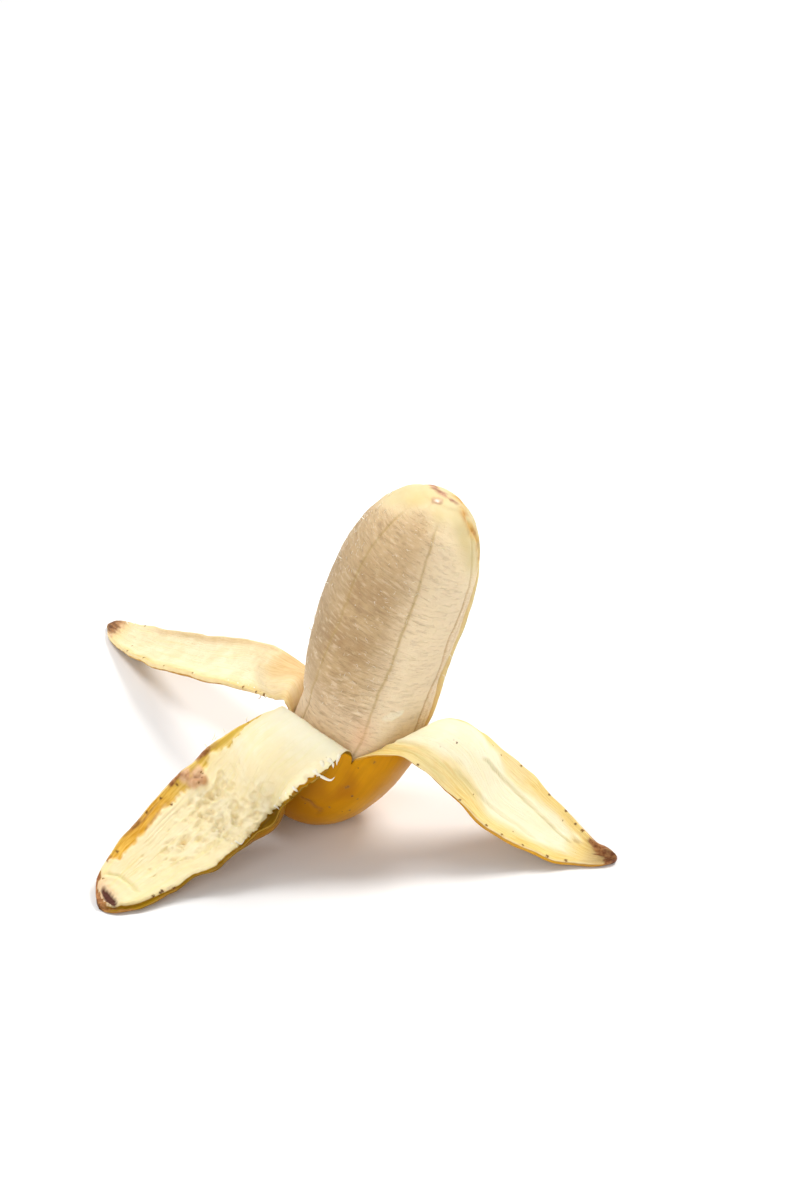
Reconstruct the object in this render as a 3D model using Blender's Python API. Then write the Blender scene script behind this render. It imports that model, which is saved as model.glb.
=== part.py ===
"""Half-peeled banana.

The peel is one piece: a cup that holds the lower end of the pulp, the neck and stem below it, three
strips folded down to the table and a fourth strip that still stands behind the pulp. The pulp is a
separate piece seated in the cup with a thin gap all round.

Lengths are in millimetres until the meshes are made, in metres. +Z is up and -Y faces the viewer.
"""
from math import radians

import bpy
import numpy as np

NAME = "banana_half_peeled"
MM = 0.001
SHARP_ANGLE = radians(55.0)

# The fruit's axis, from the cut end of the stem to the tip of the pulp
AXIS = np.array([
    (-47.0, -2.0, 7.0), (-41.0, 0.5, 7.6), (-32.5, 1.5, 9.4), (-22.5, 0.8, 12.4), (-10.7, -1.0, 16.9),
    (-0.6, 0.0, 32.0), (4.0, 2.1, 51.0), (10.8, 3.9, 71.0), (19.2, 6.2, 90.0)])
RING_KNOT = 5

# The middle of the finished part's footprint, which becomes the origin
CENTRE = np.array([-5.72, 25.06, 0.0])

# The pulp and the peel around it, as distances along the axis from the fold ring
PULP_BOTTOM = -34.0
PULP_ALONG = (-34.0, -32.0, -26.0, -16.0, 0.0, 18.0, 35.0, 46.0, 55.0, 61.5, 66.2, 68.0)
PULP_RADIUS = (0.0, 4.6, 10.4, 14.3, 16.6, 18.2, 18.6, 17.9, 15.6, 12.2, 7.0, 0.0)
PULP_GAP = 0.3
CAVITY_GAP = 0.75
SKIN_ALONG = (-57.0, -52.0, -46.0, -40.0, -34.0, -28.5, -22.0, -12.0, 0.0, 20.0)
SKIN_RADIUS = (5.7, 5.3, 6.1, 7.9, 10.6, 13.8, 16.6, 17.7, 19.4, 21.0)
SKIN_RIDGE = 0.018
RIDGES = 5
RIDGE_TURN = 20.0

# How far along the axis each tear reaches down, by the angle round the fruit (0 faces the viewer)
TEAR_ANGLE = (-160.0, -130.0, -100.0, -50.0, 0.0, 45.0, 92.0, 146.0, 200.0)
TEAR_ALONG = (-12.0, -14.0, -12.6, -9.0, -6.4, -5.0, -4.0, -6.0, -12.0)
TEARS = (-160.0, -100.0, 0.0, 92.0, 200.0)
TEAR_THIN = 0.55
TEAR_WIDTH = 9.0

# The strips: first and last angle on the ring, cells across and cells along
STRIPS = {
    "front_left": (-100.0, 0.0, 14, 26),
    "right": (0.0, 92.0, 12, 24),
    "back": (92.0, 200.0, 12, 18),
    "left": (-160.0, -100.0, 8, 24),
}

# Rails of a folded strip: its first edge, its middle and its last edge at the same places along it.
# The first rows are (angle, along the axis, distance from the axis), the others are places in space.
RAIL_ROOTS = {
    "front_left": [
        ((-97.0, -10.6, 16.6), (-50.0, -5.0, 17.2), (-3.2, -4.0, 17.0)),
        ((-95.0, -8.8, 19.0), (-50.0, -1.0, 21.2), (-10.0, -2.2, 20.0)),
    ],
    "right": [
        ((3.2, -3.8, 17.1), (46.0, 2.6, 18.0), (90.5, -0.4, 17.7)),
        ((13.0, 0.2, 20.0), (47.0, 7.2, 21.4), (89.0, 3.6, 20.6)),
    ],
    "left": [
        ((-157.5, -8.0, 16.9), (-130.0, -8.2, 17.0), (-104.0, -10.6, 16.6)),
        ((-155.0, -4.2, 20.2), (-130.0, -3.8, 20.9), (-107.0, -8.6, 19.2)),
    ],
}
RAIL_PLACES = {
    "front_left": [
        ((-24.0, -1.0, 33.4), (-22.6, -17.2, 36.6), (-8.2, -24.6, 31.8)),
        ((-29.4, -2.7, 32.0), (-27.6, -18.8, 32.2), (-15.9, -27.1, 27.0)),
        ((-41.1, -7.6, 25.5), 4.6, (-25.5, -29.2, 17.0)),
        ((-54.0, -18.1, 17.2), 3.4, (-37.9, -35.8, 9.2)),
        ((-63.7, -27.4, 9.3), 2.4, (-49.3, -40.6, 4.4)),
        ((-68.5, -33.5, 4.7), 1.2, (-58.9, -45.8, 2.1)),
        ((-70.1, -39.5, 2.6), 0.3, (-65.8, -47.5, 1.5)),
    ],
    "right": [
        ((10.2, -22.2, 33.2), (24.5, -14.0, 35.6), (25.4, 0.4, 29.8)),
        ((16.2, -23.4, 29.8), (29.6, -13.2, 31.0), (30.2, -0.5, 28.0)),
        ((22.6, -22.9, 23.2), (33.0, -12.8, 24.2), (34.4, -1.6, 24.8)),
        ((31.3, -25.0, 15.0), 1.8, (41.5, -2.8, 19.0)),
        ((42.5, -26.0, 7.3), 2.2, (48.8, -5.0, 12.0)),
        ((52.6, -26.4, 3.0), 1.5, (56.2, -11.8, 6.6)),
        ((60.2, -26.2, 1.6), 0.8, (62.3, -20.4, 4.2)),
        ((66.0, -26.1, 1.4), 0.2, (67.2, -22.6, 3.2)),
    ],
    "left": [
        ((-20.0, 26.0, 34.0), (-24.5, 17.0, 33.6), (-24.0, 8.0, 31.5)),
        ((-27.9, 38.0, 30.5), (-30.5, 28.0, 29.0), (-30.4, 16.8, 28.5)),
        ((-42.9, 56.3, 21.5), 2.2, (-47.7, 38.8, 20.0)),
        ((-56.9, 74.7, 12.2), 1.8, (-63.2, 60.5, 10.7)),
        ((-69.1, 90.1, 5.0), 1.3, (-73.8, 80.6, 3.8)),
        ((-76.4, 97.4, 2.2), 0.5, (-78.8, 91.3, 1.3)),
    ],
}

# How deep the near side of the front left strip hangs below its torn edge, along the strip
WALL_ALONG = (0.0, 0.12, 0.33, 0.45, 0.6, 0.75, 1.0)
WALL_DEPTH = (0.0, 0.0, 4.2, 3.4, 0.9, 0.0, 0.0)

# The standing strip's width and height along it
BACK_TOP = 57.0
BACK_ALONG = (0.0, 0.45, 0.75, 0.92, 1.0)
BACK_FIRST = (92.0, 94.0, 97.0, 106.0, 118.0)
BACK_LAST = (200.0, 196.0, 188.0, 170.0, 150.0)

# Rows along a strip lie closer in the fold. The skin is pressed thinner there and thins to the tips
ROW_SHARE = (0.0, 0.14, 0.48, 1.0)
ROW_ALONG = (0.0, 0.06, 0.26, 1.0)
STRIP_THICKNESS = 2.7
EDGE_THICKNESS = 1.5
THIN_ALONG = (0.0, 0.08, 0.2, 0.34, 0.7, 1.0)
THIN_SHARE = (1.0, 0.68, 0.66, 0.95, 1.0, 0.75)
NARROW_THIN = 0.72

# The torn edges waver: height of the waver along the first and the last edge
EDGE_WAVER = {"front_left": (0.35, 0.75), "right": (0.4, 0.45), "left": (0.35, 0.4)}

# Height of the table. Skin that would reach below it is pressed flat on it
TABLE = 0.0


def through(knots, values, where):
    """Smooth curve through the values at the knots, read at where."""
    knots = np.asarray(knots, float)
    values = np.asarray(values, float)
    flat = values.ndim == 1
    if flat:
        values = values[:, None]
    where = np.clip(np.asarray(where, float), knots[0], knots[-1])
    gap = np.diff(knots)
    slope = np.diff(values, axis=0) / gap[:, None]
    share = (gap[1:] / (gap[1:] + gap[:-1]))[:, None]
    tangent = np.vstack([slope[:1], slope[:-1] * share + slope[1:] * (1.0 - share), slope[-1:]])
    cell = np.clip(np.searchsorted(knots, where, side="right") - 1, 0, len(gap) - 1)
    step = gap[cell][..., None]
    t = ((where - knots[cell])[..., None]) / step
    result = ((2 * t**3 - 3 * t**2 + 1) * values[cell] + (t**3 - 2 * t**2 + t) * step * tangent[cell]
              + (3 * t**2 - 2 * t**3) * values[cell + 1] + (t**3 - t**2) * step * tangent[cell + 1])
    return result[..., 0] if flat else result


def unit(vectors):
    return vectors / np.linalg.norm(vectors, axis=-1, keepdims=True)


STATIONS = np.concatenate([[0.0], np.cumsum(np.linalg.norm(np.diff(AXIS, axis=0), axis=1))])
STATIONS = STATIONS - STATIONS[RING_KNOT]


def axis_at(along):
    """Centre, direction, front and right of the fruit's axis; beyond its ends it runs straight on."""
    along = np.asarray(along, float)
    near = np.clip(along, STATIONS[0] + 0.5, STATIONS[-1] - 0.5)
    place = through(STATIONS, AXIS, near)
    direction = unit(through(STATIONS, AXIS, near + 0.5) - through(STATIONS, AXIS, near - 0.5))
    place = place + direction * (along - near)[..., None]
    ahead = np.array([0.0, -1.0, 0.0])
    front = unit(ahead - direction * (direction @ ahead)[..., None])
    return place, direction, front, np.cross(direction, front)


def around(angle, along, radius):
    """The place at an angle round the axis (degrees), a distance along it and a radius from it."""
    turn = np.radians(np.asarray(angle, float))
    place, direction, front, right = axis_at(along)
    radius = np.asarray(radius, float)[..., None]
    return place + radius * (np.cos(turn)[..., None] * front + np.sin(turn)[..., None] * right)


def ridge(angle):
    """A soft ridge on each side of the fruit: 1 on a ridge and below 0 between two."""
    return np.cos(np.radians(RIDGES * (np.asarray(angle, float) - RIDGE_TURN)))


def pulp_radius(along):
    return through(PULP_ALONG, PULP_RADIUS, along)


def skin_radius(angle, along):
    radius = through(SKIN_ALONG, SKIN_RADIUS, along)
    return radius * (1.0 + SKIN_RIDGE * ridge(angle))


def ease(value):
    value = np.clip(value, 0.0, 1.0)
    return value * value * (3.0 - 2.0 * value)


def waver(v):
    """Uneven wave along a torn edge, between about -1 and 1."""
    return 0.6 * np.sin(31.0 * v + 1.0) + 0.4 * np.sin(53.0 * v + 2.2)


def tear_along(angle):
    return through(TEAR_ANGLE, TEAR_ALONG, angle)


def ring_inner(angle):
    along = tear_along(angle)
    return around(angle, along, pulp_radius(along) + PULP_GAP)


def ring_outer(angle):
    """The skin's place on the ring; beside the end of a tear the skin is torn thin."""
    along = tear_along(angle)
    inner = pulp_radius(along) + PULP_GAP
    share = np.ones_like(np.asarray(angle, float))
    for tear in TEARS:
        share = share - TEAR_THIN * np.exp(-((angle - tear) / TEAR_WIDTH) ** 2)
    return around(angle, along, inner + (skin_radius(angle, along) - inner) * share)


def normals(grid):
    """Normal of a grid of places, pointing to its skin side for a strip laid out first edge to last."""
    along = np.gradient(grid, axis=0)
    across = np.gradient(grid, axis=1)
    return unit(np.cross(across, along))


def folded_strip(name):
    """Inner and outer grids of a strip that is folded down, row 0 on the ring."""
    first, last, across, rows = STRIPS[name]
    start = [around(angle, tear_along(angle), pulp_radius(tear_along(angle)) + PULP_GAP)
             for angle in (first, 0.5 * (first + last), last)]
    rails = [start]
    for row in RAIL_ROOTS[name]:
        rails.append([around(angle, along, radius) for angle, along, radius in row])
    for edge, middle, other in RAIL_PLACES[name]:
        edge, other = np.array(edge), np.array(other)
        if np.ndim(middle) == 0:
            width = unit(other - edge)
            upward = unit(np.array([0.0, 0.0, 1.0]) - width * width[2])
            middle = 0.5 * (edge + other) - middle * upward
        rails.append([edge, middle, other])
    rails = np.array(rails, float)
    middle = rails[:, 1]
    knots = np.concatenate([[0.0], np.cumsum(np.linalg.norm(np.diff(middle, axis=0), axis=1))])
    knots = knots / knots[-1]
    v = through(ROW_SHARE, ROW_ALONG, np.linspace(0.0, 1.0, rows + 1))
    left, mid, right = (through(knots, rails[:, k], v) for k in range(3))
    width = unit(right - left)
    calm = (ease((v - 0.1) / 0.2) * ease((1.0 - v) / 0.12))[:, None]
    left = left - width * EDGE_WAVER[name][0] * waver(v)[:, None] * calm
    right = right + width * EDGE_WAVER[name][1] * waver(v + 0.37)[:, None] * calm
    u = np.linspace(-1.0, 1.0, across + 1)
    inner = (mid[:, None] + 0.5 * (right - left)[:, None] * u[None, :, None]
             + (0.5 * (left + right) - mid)[:, None] * (u**2)[None, :, None])
    if name == "front_left":
        hang = np.clip(u, 0.0, 1.0) ** 3 * (1.0 - u) * 9.48
        depth = through(WALL_ALONG, WALL_DEPTH, v)[:, None] * hang[None]
        inner = inner + normals(inner) * depth[..., None]
    angle = first + (last - first) * 0.5 * (u + 1.0)
    hold = (1.0 - ease(v / 0.16))[:, None, None]
    inner = inner + (ring_inner(angle) - inner[0])[None] * hold
    thick = STRIP_THICKNESS + (EDGE_THICKNESS - STRIP_THICKNESS) * np.abs(u[None, :]) ** 4
    pressed = through(THIN_ALONG, THIN_SHARE, v)
    if name == "left":
        pressed = pressed * (NARROW_THIN + (1.0 - NARROW_THIN) * ease((v - 0.12) / 0.2))
    thick = thick * pressed[:, None]
    facing = normals(inner)
    ring = tear_along(angle)
    sideways = unit(around(angle + 1.0, ring, 17.0) - around(angle - 1.0, ring, 17.0))
    lean = (facing * sideways[None]).sum(axis=-1) * (1.0 - ease((v[:, None] - 0.08) / 0.2))
    facing = unit(facing - sideways[None] * lean[..., None])
    start = ring_outer(angle) - ring_inner(angle)
    depth = np.linalg.norm(start, axis=-1)[None]
    grown = ease(v / 0.13)[:, None]
    thick = depth * (1.0 - grown) + thick * grown
    turned = ease(v / 0.1)[:, None, None]
    facing = unit(unit(start)[None] * (1.0 - turned) + facing * turned)
    outer = inner + facing * thick[..., None]
    outer[..., 2] = np.maximum(outer[..., 2], TABLE)
    return inner, outer, angle


def standing_strip():
    """Inner and outer grids of the strip that still stands against the pulp."""
    first, last, across, rows = STRIPS["back"]
    v = np.linspace(0.0, 1.0, rows + 1)[:, None]
    u = np.linspace(0.0, 1.0, across + 1)[None, :]
    low = through(BACK_ALONG, BACK_FIRST, v[:, 0])[:, None]
    high = through(BACK_ALONG, BACK_LAST, v[:, 0])[:, None]
    angle = low + (high - low) * u
    along = tear_along(first + (last - first) * u) * (1.0 - v) + BACK_TOP * v
    inner = around(angle, along, pulp_radius(along) + PULP_GAP)
    torn = np.abs(2.0 * u - 1.0) ** 4
    thick = STRIP_THICKNESS + (EDGE_THICKNESS - STRIP_THICKNESS) * torn
    thick = thick * (1.0 - 0.3 * ease((v - 0.8) / 0.2))
    outward = normals(inner)
    offset = outward * (thick + 0.25 * ridge(angle))[..., None]
    hold = (1.0 - ease(v / 0.16))[..., None]
    start = ring_outer(angle[0]) - ring_inner(angle[0])
    offset = offset * (1.0 - hold) + start[None] * hold
    return inner, inner + offset, angle[0]


class Shell:
    """Collects places and faces of one closed surface."""

    def __init__(self):
        self.places = []
        self.faces = []

    def add(self, places):
        start = len(self.places)
        self.places.extend(np.asarray(places, float).reshape(-1, 3).tolist())
        return np.arange(start, len(self.places))

    def quads(self, grid, flip):
        """Faces of a grid of place numbers."""
        for i in range(grid.shape[0] - 1):
            for j in range(grid.shape[1] - 1):
                face = [grid[i, j], grid[i, j + 1], grid[i + 1, j + 1], grid[i + 1, j]]
                self.faces.append(face[::-1] if flip else face)

    def fan(self, ring, centre, flip):
        for j in range(len(ring)):
            face = [ring[j], ring[(j + 1) % len(ring)], centre]
            self.faces.append(face[::-1] if flip else face)


def make_object(name, shell, material, collection):
    mesh = bpy.data.meshes.new(name)
    places = (np.array(shell.places) - CENTRE) * MM
    mesh.from_pydata(places.tolist(), [], [[int(k) for k in face] for face in shell.faces])
    mesh.validate()
    mesh.shade_smooth()
    mesh.set_sharp_from_angle(angle=SHARP_ANGLE)
    item = bpy.data.objects.new(name, mesh)
    collection.objects.link(item)
    mesh.materials.append(material)
    return item


def make_material(name, colour, roughness):
    material = bpy.data.materials.new(name)
    material.use_nodes = True
    shader = material.node_tree.nodes["Principled BSDF"]
    shader.inputs["Base Color"].default_value = (*colour, 1.0)
    shader.inputs["Roughness"].default_value = roughness
    return material


def build_peel(material, collection):
    """Cup, stem and the four strips as one closed surface."""
    shell = Shell()
    order = ("left", "front_left", "right", "back")
    grids = {name: (standing_strip() if name == "back" else folded_strip(name)) for name in order}
    angles = np.concatenate([grids[name][2][:-1] for name in order])
    count = len(angles)
    inner_ring = shell.add(ring_inner(angles))
    outer_ring = shell.add(ring_outer(angles))
    start = 0
    for name in order:
        inner, outer, angle = grids[name]
        rows, across = inner.shape[0] - 1, inner.shape[1] - 1
        columns = (start + np.arange(across + 1)) % count
        inside = np.vstack([inner_ring[columns], shell.add(inner[1:]).reshape(rows, across + 1)])
        outside = np.vstack([outer_ring[columns], shell.add(outer[1:]).reshape(rows, across + 1)])
        shell.quads(inside, True)
        shell.quads(outside, False)
        shell.quads(np.stack([inside[:, 0], outside[:, 0]], axis=1), False)
        shell.quads(np.stack([inside[:, -1], outside[:, -1]], axis=1), True)
        shell.quads(np.stack([inside[-1], outside[-1]]), True)
        start += across
    tears = tear_along(angles)
    depth = np.array([0.1, 0.2, 0.32, 0.44, 0.55, 0.66, 0.76, 0.85, 0.92, 0.97])
    along = tears[None] + (PULP_BOTTOM - tears[None]) * depth[:, None]
    turn = np.broadcast_to(angles, along.shape)
    gap = PULP_GAP + (CAVITY_GAP - PULP_GAP) * ease(depth * 2.0)[:, None]
    cavity = around(turn, along, pulp_radius(along) + gap)
    grid = np.vstack([inner_ring, shell.add(cavity).reshape(len(depth), count)])
    bottom = shell.add(around(np.zeros(1), np.full(1, PULP_BOTTOM - CAVITY_GAP), np.zeros(1)))[0]
    closed = np.hstack([grid, grid[:, :1]])
    shell.quads(closed, False)
    shell.fan(grid[-1], bottom, False)
    depth = np.linspace(0.0, 1.0, 25)[1:]
    end = SKIN_ALONG[0]
    along = tears[None] + (end - tears[None]) * depth[:, None]
    turn = np.broadcast_to(angles, along.shape)
    skin = around(turn, along, skin_radius(turn, along))
    skin[..., 2] = np.maximum(skin[..., 2], TABLE)
    grid = np.vstack([outer_ring, shell.add(skin).reshape(len(depth), count)])
    cut = shell.add(around(angles, np.full(count, end + 0.7), np.full(count, 3.0)))
    grid = np.vstack([grid, cut])
    middle = shell.add(around(np.zeros(1), np.full(1, end + 0.9), np.zeros(1)))[0]
    closed = np.hstack([grid, grid[:, :1]])
    shell.quads(closed, True)
    shell.fan(grid[-1], middle, True)
    return make_object("peel", shell, material, collection)


def build_flesh(material, collection):
    """The pulp, closed by a pole at each end."""
    shell = Shell()
    top = PULP_ALONG[-1]
    share = 0.5 - 0.5 * np.cos(np.linspace(0.0, np.pi, 29))
    along = PULP_BOTTOM + (top - PULP_BOTTOM) * share[1:-1]
    angles = np.linspace(-180.0, 180.0, 41)[:-1]
    turn, along = np.meshgrid(angles, along)
    grid = shell.add(around(turn, along, pulp_radius(along))).reshape(along.shape)
    low = shell.add(around(np.zeros(1), np.full(1, PULP_BOTTOM), np.zeros(1)))[0]
    high = shell.add(around(np.zeros(1), np.full(1, top), np.zeros(1)))[0]
    closed = np.hstack([grid, grid[:, :1]])
    shell.quads(closed, False)
    shell.fan(grid[0], low, True)
    shell.fan(grid[-1], high, False)
    return make_object("flesh", shell, material, collection)


def main():
    for item in list(bpy.data.objects):
        bpy.data.objects.remove(item, do_unlink=True)
    collection = bpy.data.collections.new(NAME)
    bpy.context.scene.collection.children.link(collection)
    skin = make_material("peel_skin", (0.80, 0.52, 0.10), 0.55)
    pulp = make_material("pulp", (0.93, 0.84, 0.66), 0.65)
    build_peel(skin, collection)
    build_flesh(pulp, collection)


main()
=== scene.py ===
# Half-peeled banana: fine skin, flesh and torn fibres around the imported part, with its light and camera
from math import pi, radians
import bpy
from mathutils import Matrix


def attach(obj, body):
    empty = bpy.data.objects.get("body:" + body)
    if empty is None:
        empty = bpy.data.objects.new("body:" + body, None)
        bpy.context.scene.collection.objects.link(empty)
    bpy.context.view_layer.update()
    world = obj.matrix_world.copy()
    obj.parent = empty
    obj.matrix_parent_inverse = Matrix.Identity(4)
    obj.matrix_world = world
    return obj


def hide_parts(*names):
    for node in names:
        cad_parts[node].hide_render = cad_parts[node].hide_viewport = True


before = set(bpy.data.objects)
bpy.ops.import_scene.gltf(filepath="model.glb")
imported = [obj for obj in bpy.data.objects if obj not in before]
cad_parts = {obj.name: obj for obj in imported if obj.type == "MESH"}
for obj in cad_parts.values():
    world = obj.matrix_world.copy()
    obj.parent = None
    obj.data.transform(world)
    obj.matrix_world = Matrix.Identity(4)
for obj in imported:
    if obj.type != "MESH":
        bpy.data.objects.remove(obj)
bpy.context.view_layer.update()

from types import SimpleNamespace

import bpy
import numpy as np
from mathutils import Matrix, Vector

mm = 0.001

# The fruit's own values, in millimetres. Angles go round the fruit in degrees, 0 faces the viewer.
# Along is the distance up the fruit's axis from the ring where the strips fold down.
fruit = {
    "axis": [(-47, -2, 7), (-41, 0.5, 7.6), (-32.5, 1.5, 9.4), (-22.5, 0.8, 12.4), (-10.7, -1, 16.9),
             (-0.6, 0, 32), (4, 2.1, 51), (10.8, 3.9, 71), (19.2, 6.2, 90)],
    "ringKnot": 5,
    "centre": (-5.72, 25.06, 0.0),
    "gap": 0.3, "girth": 17.0,
    "pulpBottom": -34.0,
    "pulpAlong": (-34, -32, -26, -16, 0, 18, 35, 46, 55, 61.5, 66.2, 67.5, 68),
    "pulpRadius": (0, 4.6, 10.4, 14.3, 16.6, 18.2, 18.6, 17.9, 15.6, 12.2, 7.0, 3.8, 0),
    "skinAlong": (-57, -52, -46, -40, -34, -28.5, -22, -12, 0, 20),
    "skinRadius": (5.7, 5.3, 6.1, 7.9, 10.6, 13.8, 16.6, 17.7, 19.4, 21.0),
    "ridges": 5, "ridgeTurn": 20.0, "ridgeHeight": 0.018,
    "tearAngle": (-160, -130, -100, -50, 0, 45, 92, 146, 200),
    "tearAlong": (-12, -14, -12.6, -9, -6.4, -5, -4, -6, -12),
    "tears": (-160, -100, 0, 92, 200), "tearThin": 0.55, "tearWidth": 9.0,
}


def smoothThrough(knots, values, where):
    # cubic curve through the values, its slope at a knot is the weighted mean of the slopes beside it
    knots, values = np.asarray(knots, float), np.asarray(values, float)
    flat = values.ndim == 1
    values = values[:, None] if flat else values
    where = np.clip(np.asarray(where, float), knots[0], knots[-1])
    gap = np.diff(knots)
    slope = np.diff(values, axis=0) / gap[:, None]
    share = (gap[1:] / (gap[1:] + gap[:-1]))[:, None]
    tangent = np.vstack([slope[:1], slope[:-1] * share + slope[1:] * (1 - share), slope[-1:]])
    cell = np.clip(np.searchsorted(knots, where, side="right") - 1, 0, len(gap) - 1)
    step = gap[cell][..., None]
    t = (where - knots[cell])[..., None] / step
    result = ((2 * t**3 - 3 * t**2 + 1) * values[cell] + (t**3 - 2 * t**2 + t) * step * tangent[cell]
              + (3 * t**2 - 2 * t**3) * values[cell + 1] + (t**3 - t**2) * step * tangent[cell + 1])
    return result[..., 0] if flat else result


def crossAt(line, where):
    # a line given as (across, down) points in any order: how far across it lies at a place down it
    return smoothThrough(*zip(*sorted((down, across) for across, down in line)), where)


def unitOf(vectors):
    return vectors / np.maximum(np.linalg.norm(vectors, axis=-1, keepdims=True), 1e-12)


def ease(value):
    # 0 to 1 with flat ends: three t squared less two t cubed
    value = np.clip(value, 0, 1)
    return value * value * (3 - 2 * value)


def between(value, low, rise, high, fall):
    # 1 from low to high and 0 outside, eased over a rise that starts at low and a fall that ends at high
    return ease((value - low) / rise) * ease((high - value) / fall)


def bump(distance, width):
    # bell of height 1: e to the minus (distance over width) squared
    return np.exp(-(np.asarray(distance) / width) ** 2)


def cloud(places, size, seed=0):
    # smooth noise between -1 and 1: random values at the corners of cubes of this size, eased between them
    scaled = np.asarray(places, float) / size
    cell = np.floor(scaled).astype(np.int64)
    t = ease(scaled - cell)
    total = np.zeros(scaled.shape[:-1])
    for corner in range(8):
        pick = np.array([corner & 1, corner >> 1 & 1, corner >> 2 & 1])
        x, y, z = np.moveaxis(cell + pick, -1, 0)
        key = (x * 73856093) ^ (y * 19349663) ^ (z * 83492791) ^ (seed * 2654435761)
        key = ((key ^ (key >> 13)) * 1274126177) & 0x7FFFFFFF
        key = ((key ^ (key >> 15)) * 69069 + 12345) & 0x7FFFFFFF
        weight = np.prod(np.where(pick, t, 1 - t), axis=-1)
        total = total + weight * (key / 0x3FFFFFFF - 1.0)
    return total


axisPoints = np.array(fruit["axis"], float)
stations = np.concatenate([[0.0], np.cumsum(np.linalg.norm(np.diff(axisPoints, axis=0), axis=1))])
stations = stations - stations[fruit["ringKnot"]]


def axisAt(along):
    # place, direction, front and right of the axis at a distance along it
    along = np.asarray(along, float)
    near = np.clip(along, stations[0] + 0.5, stations[-1] - 0.5)
    direction = unitOf(smoothThrough(stations, axisPoints, near + 0.5)
                       - smoothThrough(stations, axisPoints, near - 0.5))
    place = smoothThrough(stations, axisPoints, near) + direction * (along - near)[..., None]
    ahead = np.array([0.0, -1.0, 0.0])
    front = unitOf(ahead - direction * (direction @ ahead)[..., None])
    return place, direction, front, np.cross(direction, front)


def around(angle, along, radius):
    # the axis place plus radius times (cosine of the angle times front plus its sine times right)
    turn = np.radians(np.asarray(angle, float))
    place, direction, front, right = axisAt(along)
    radius = np.asarray(radius, float)[..., None]
    return place + radius * (np.cos(turn)[..., None] * front + np.sin(turn)[..., None] * right)


def pulpRadius(along):
    return smoothThrough(fruit["pulpAlong"], fruit["pulpRadius"], along)


def ridgeWave(angle):
    return np.cos(np.radians(fruit["ridges"] * (np.asarray(angle, float) - fruit["ridgeTurn"])))


def skinRadius(angle, along):
    ridge = 1 + fruit["ridgeHeight"] * ridgeWave(angle)
    return smoothThrough(fruit["skinAlong"], fruit["skinRadius"], along) * ridge


def tearAlong(angle):
    return smoothThrough(fruit["tearAngle"], fruit["tearAlong"], angle)


def ringInner(angle):
    along = tearAlong(angle)
    return around(angle, along, pulpRadius(along) + fruit["gap"])


def ringOuter(angle):
    # the skin's outside at the ring, thinner beside the end of each tear
    along = tearAlong(angle)
    inner = pulpRadius(along) + fruit["gap"]
    share = 1 - fruit["tearThin"] * sum(bump(angle - tear, fruit["tearWidth"]) for tear in fruit["tears"])
    return around(angle, along, inner + (skinRadius(angle, along) - inner) * share)


def gridNormals(grid):
    # across times along, which points to the skin side of a strip laid out first edge to last
    return unitOf(np.cross(np.gradient(grid, axis=1), np.gradient(grid, axis=0)))


class Surface:
    # places, faces and per-place marks of one piece
    def __init__(self):
        self.places, self.faces, self.marks, self.total = [], [], {}, 0

    def add(self, places, **marks):
        # numbers of the new places, in the shape of their grid
        shape = places.shape[:-1]
        count = int(np.prod(shape))
        self.places.append(places.reshape(-1, 3))
        for name in set(self.marks) | set(marks):
            values = np.broadcast_to(marks.get(name, 0.0), shape).reshape(-1).astype(float)
            self.marks.setdefault(name, [np.zeros(self.total)] if self.total else []).append(values)
        numbers = np.arange(self.total, self.total + count).reshape(shape)
        self.total += count
        return numbers

    def sheet(self, numbers, flip=False):
        # one face for each cell of a grid of numbers
        cells = [numbers[:-1, :-1], numbers[:-1, 1:], numbers[1:, 1:], numbers[1:, :-1]]
        cells = np.stack(cells, -1).reshape(-1, 4)
        self.faces.append(cells[:, ::-1] if flip else cells)

    def wrap(self, numbers, flip=False):
        # a sheet whose last column joins its first
        self.sheet(np.hstack([numbers, numbers[:, :1]]), flip)

    def fan(self, ring, middle, flip=False):
        cells = np.stack([ring, np.roll(ring, -1), np.full_like(ring, middle)], -1)
        self.faces.append(cells[:, ::-1] if flip else cells)

    def piece(self, name, material, slot, *nodes):
        places = (np.vstack(self.places) - np.array(fruit["centre"])) * mm
        mesh = bpy.data.meshes.new(name)
        corners = np.concatenate([cells.reshape(-1) for cells in self.faces]).astype(np.int32)
        sizes = np.concatenate([np.full(len(cells), cells.shape[1]) for cells in self.faces]).astype(np.int32)
        mesh.vertices.add(len(places))
        mesh.vertices.foreach_set("co", places.astype(np.float32).reshape(-1))
        mesh.loops.add(len(corners))
        mesh.loops.foreach_set("vertex_index", corners)
        mesh.polygons.add(len(sizes))
        mesh.polygons.foreach_set("loop_start", (np.cumsum(sizes) - sizes).astype(np.int32))
        mesh.update(calc_edges=True)
        mesh.validate()
        mesh.shade_smooth()
        for mark, values in self.marks.items():
            attribute = mesh.attributes.new(mark, "FLOAT", "POINT")
            attribute.data.foreach_set("value", np.concatenate(values).astype(np.float32))
        item = bpy.data.objects.new(name, mesh)
        bpy.context.scene.collection.objects.link(item)
        mesh.materials.append(material)
        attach(item, "root")
        if nodes:
            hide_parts(*nodes)
        print("made", name, len(places), "places", int((sizes - 2).sum()), "triangles")


# The camera stands where the photograph's did, found by fitting the flesh, strips and base to it
view = {"lens": 85.0, "sensor": 36.0, "picture": (800, 1200), "pitch": 31.0, "distance": 760.0,
        "aimPixel": (362, 713), "aim": (0, 0, 32)}


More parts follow.
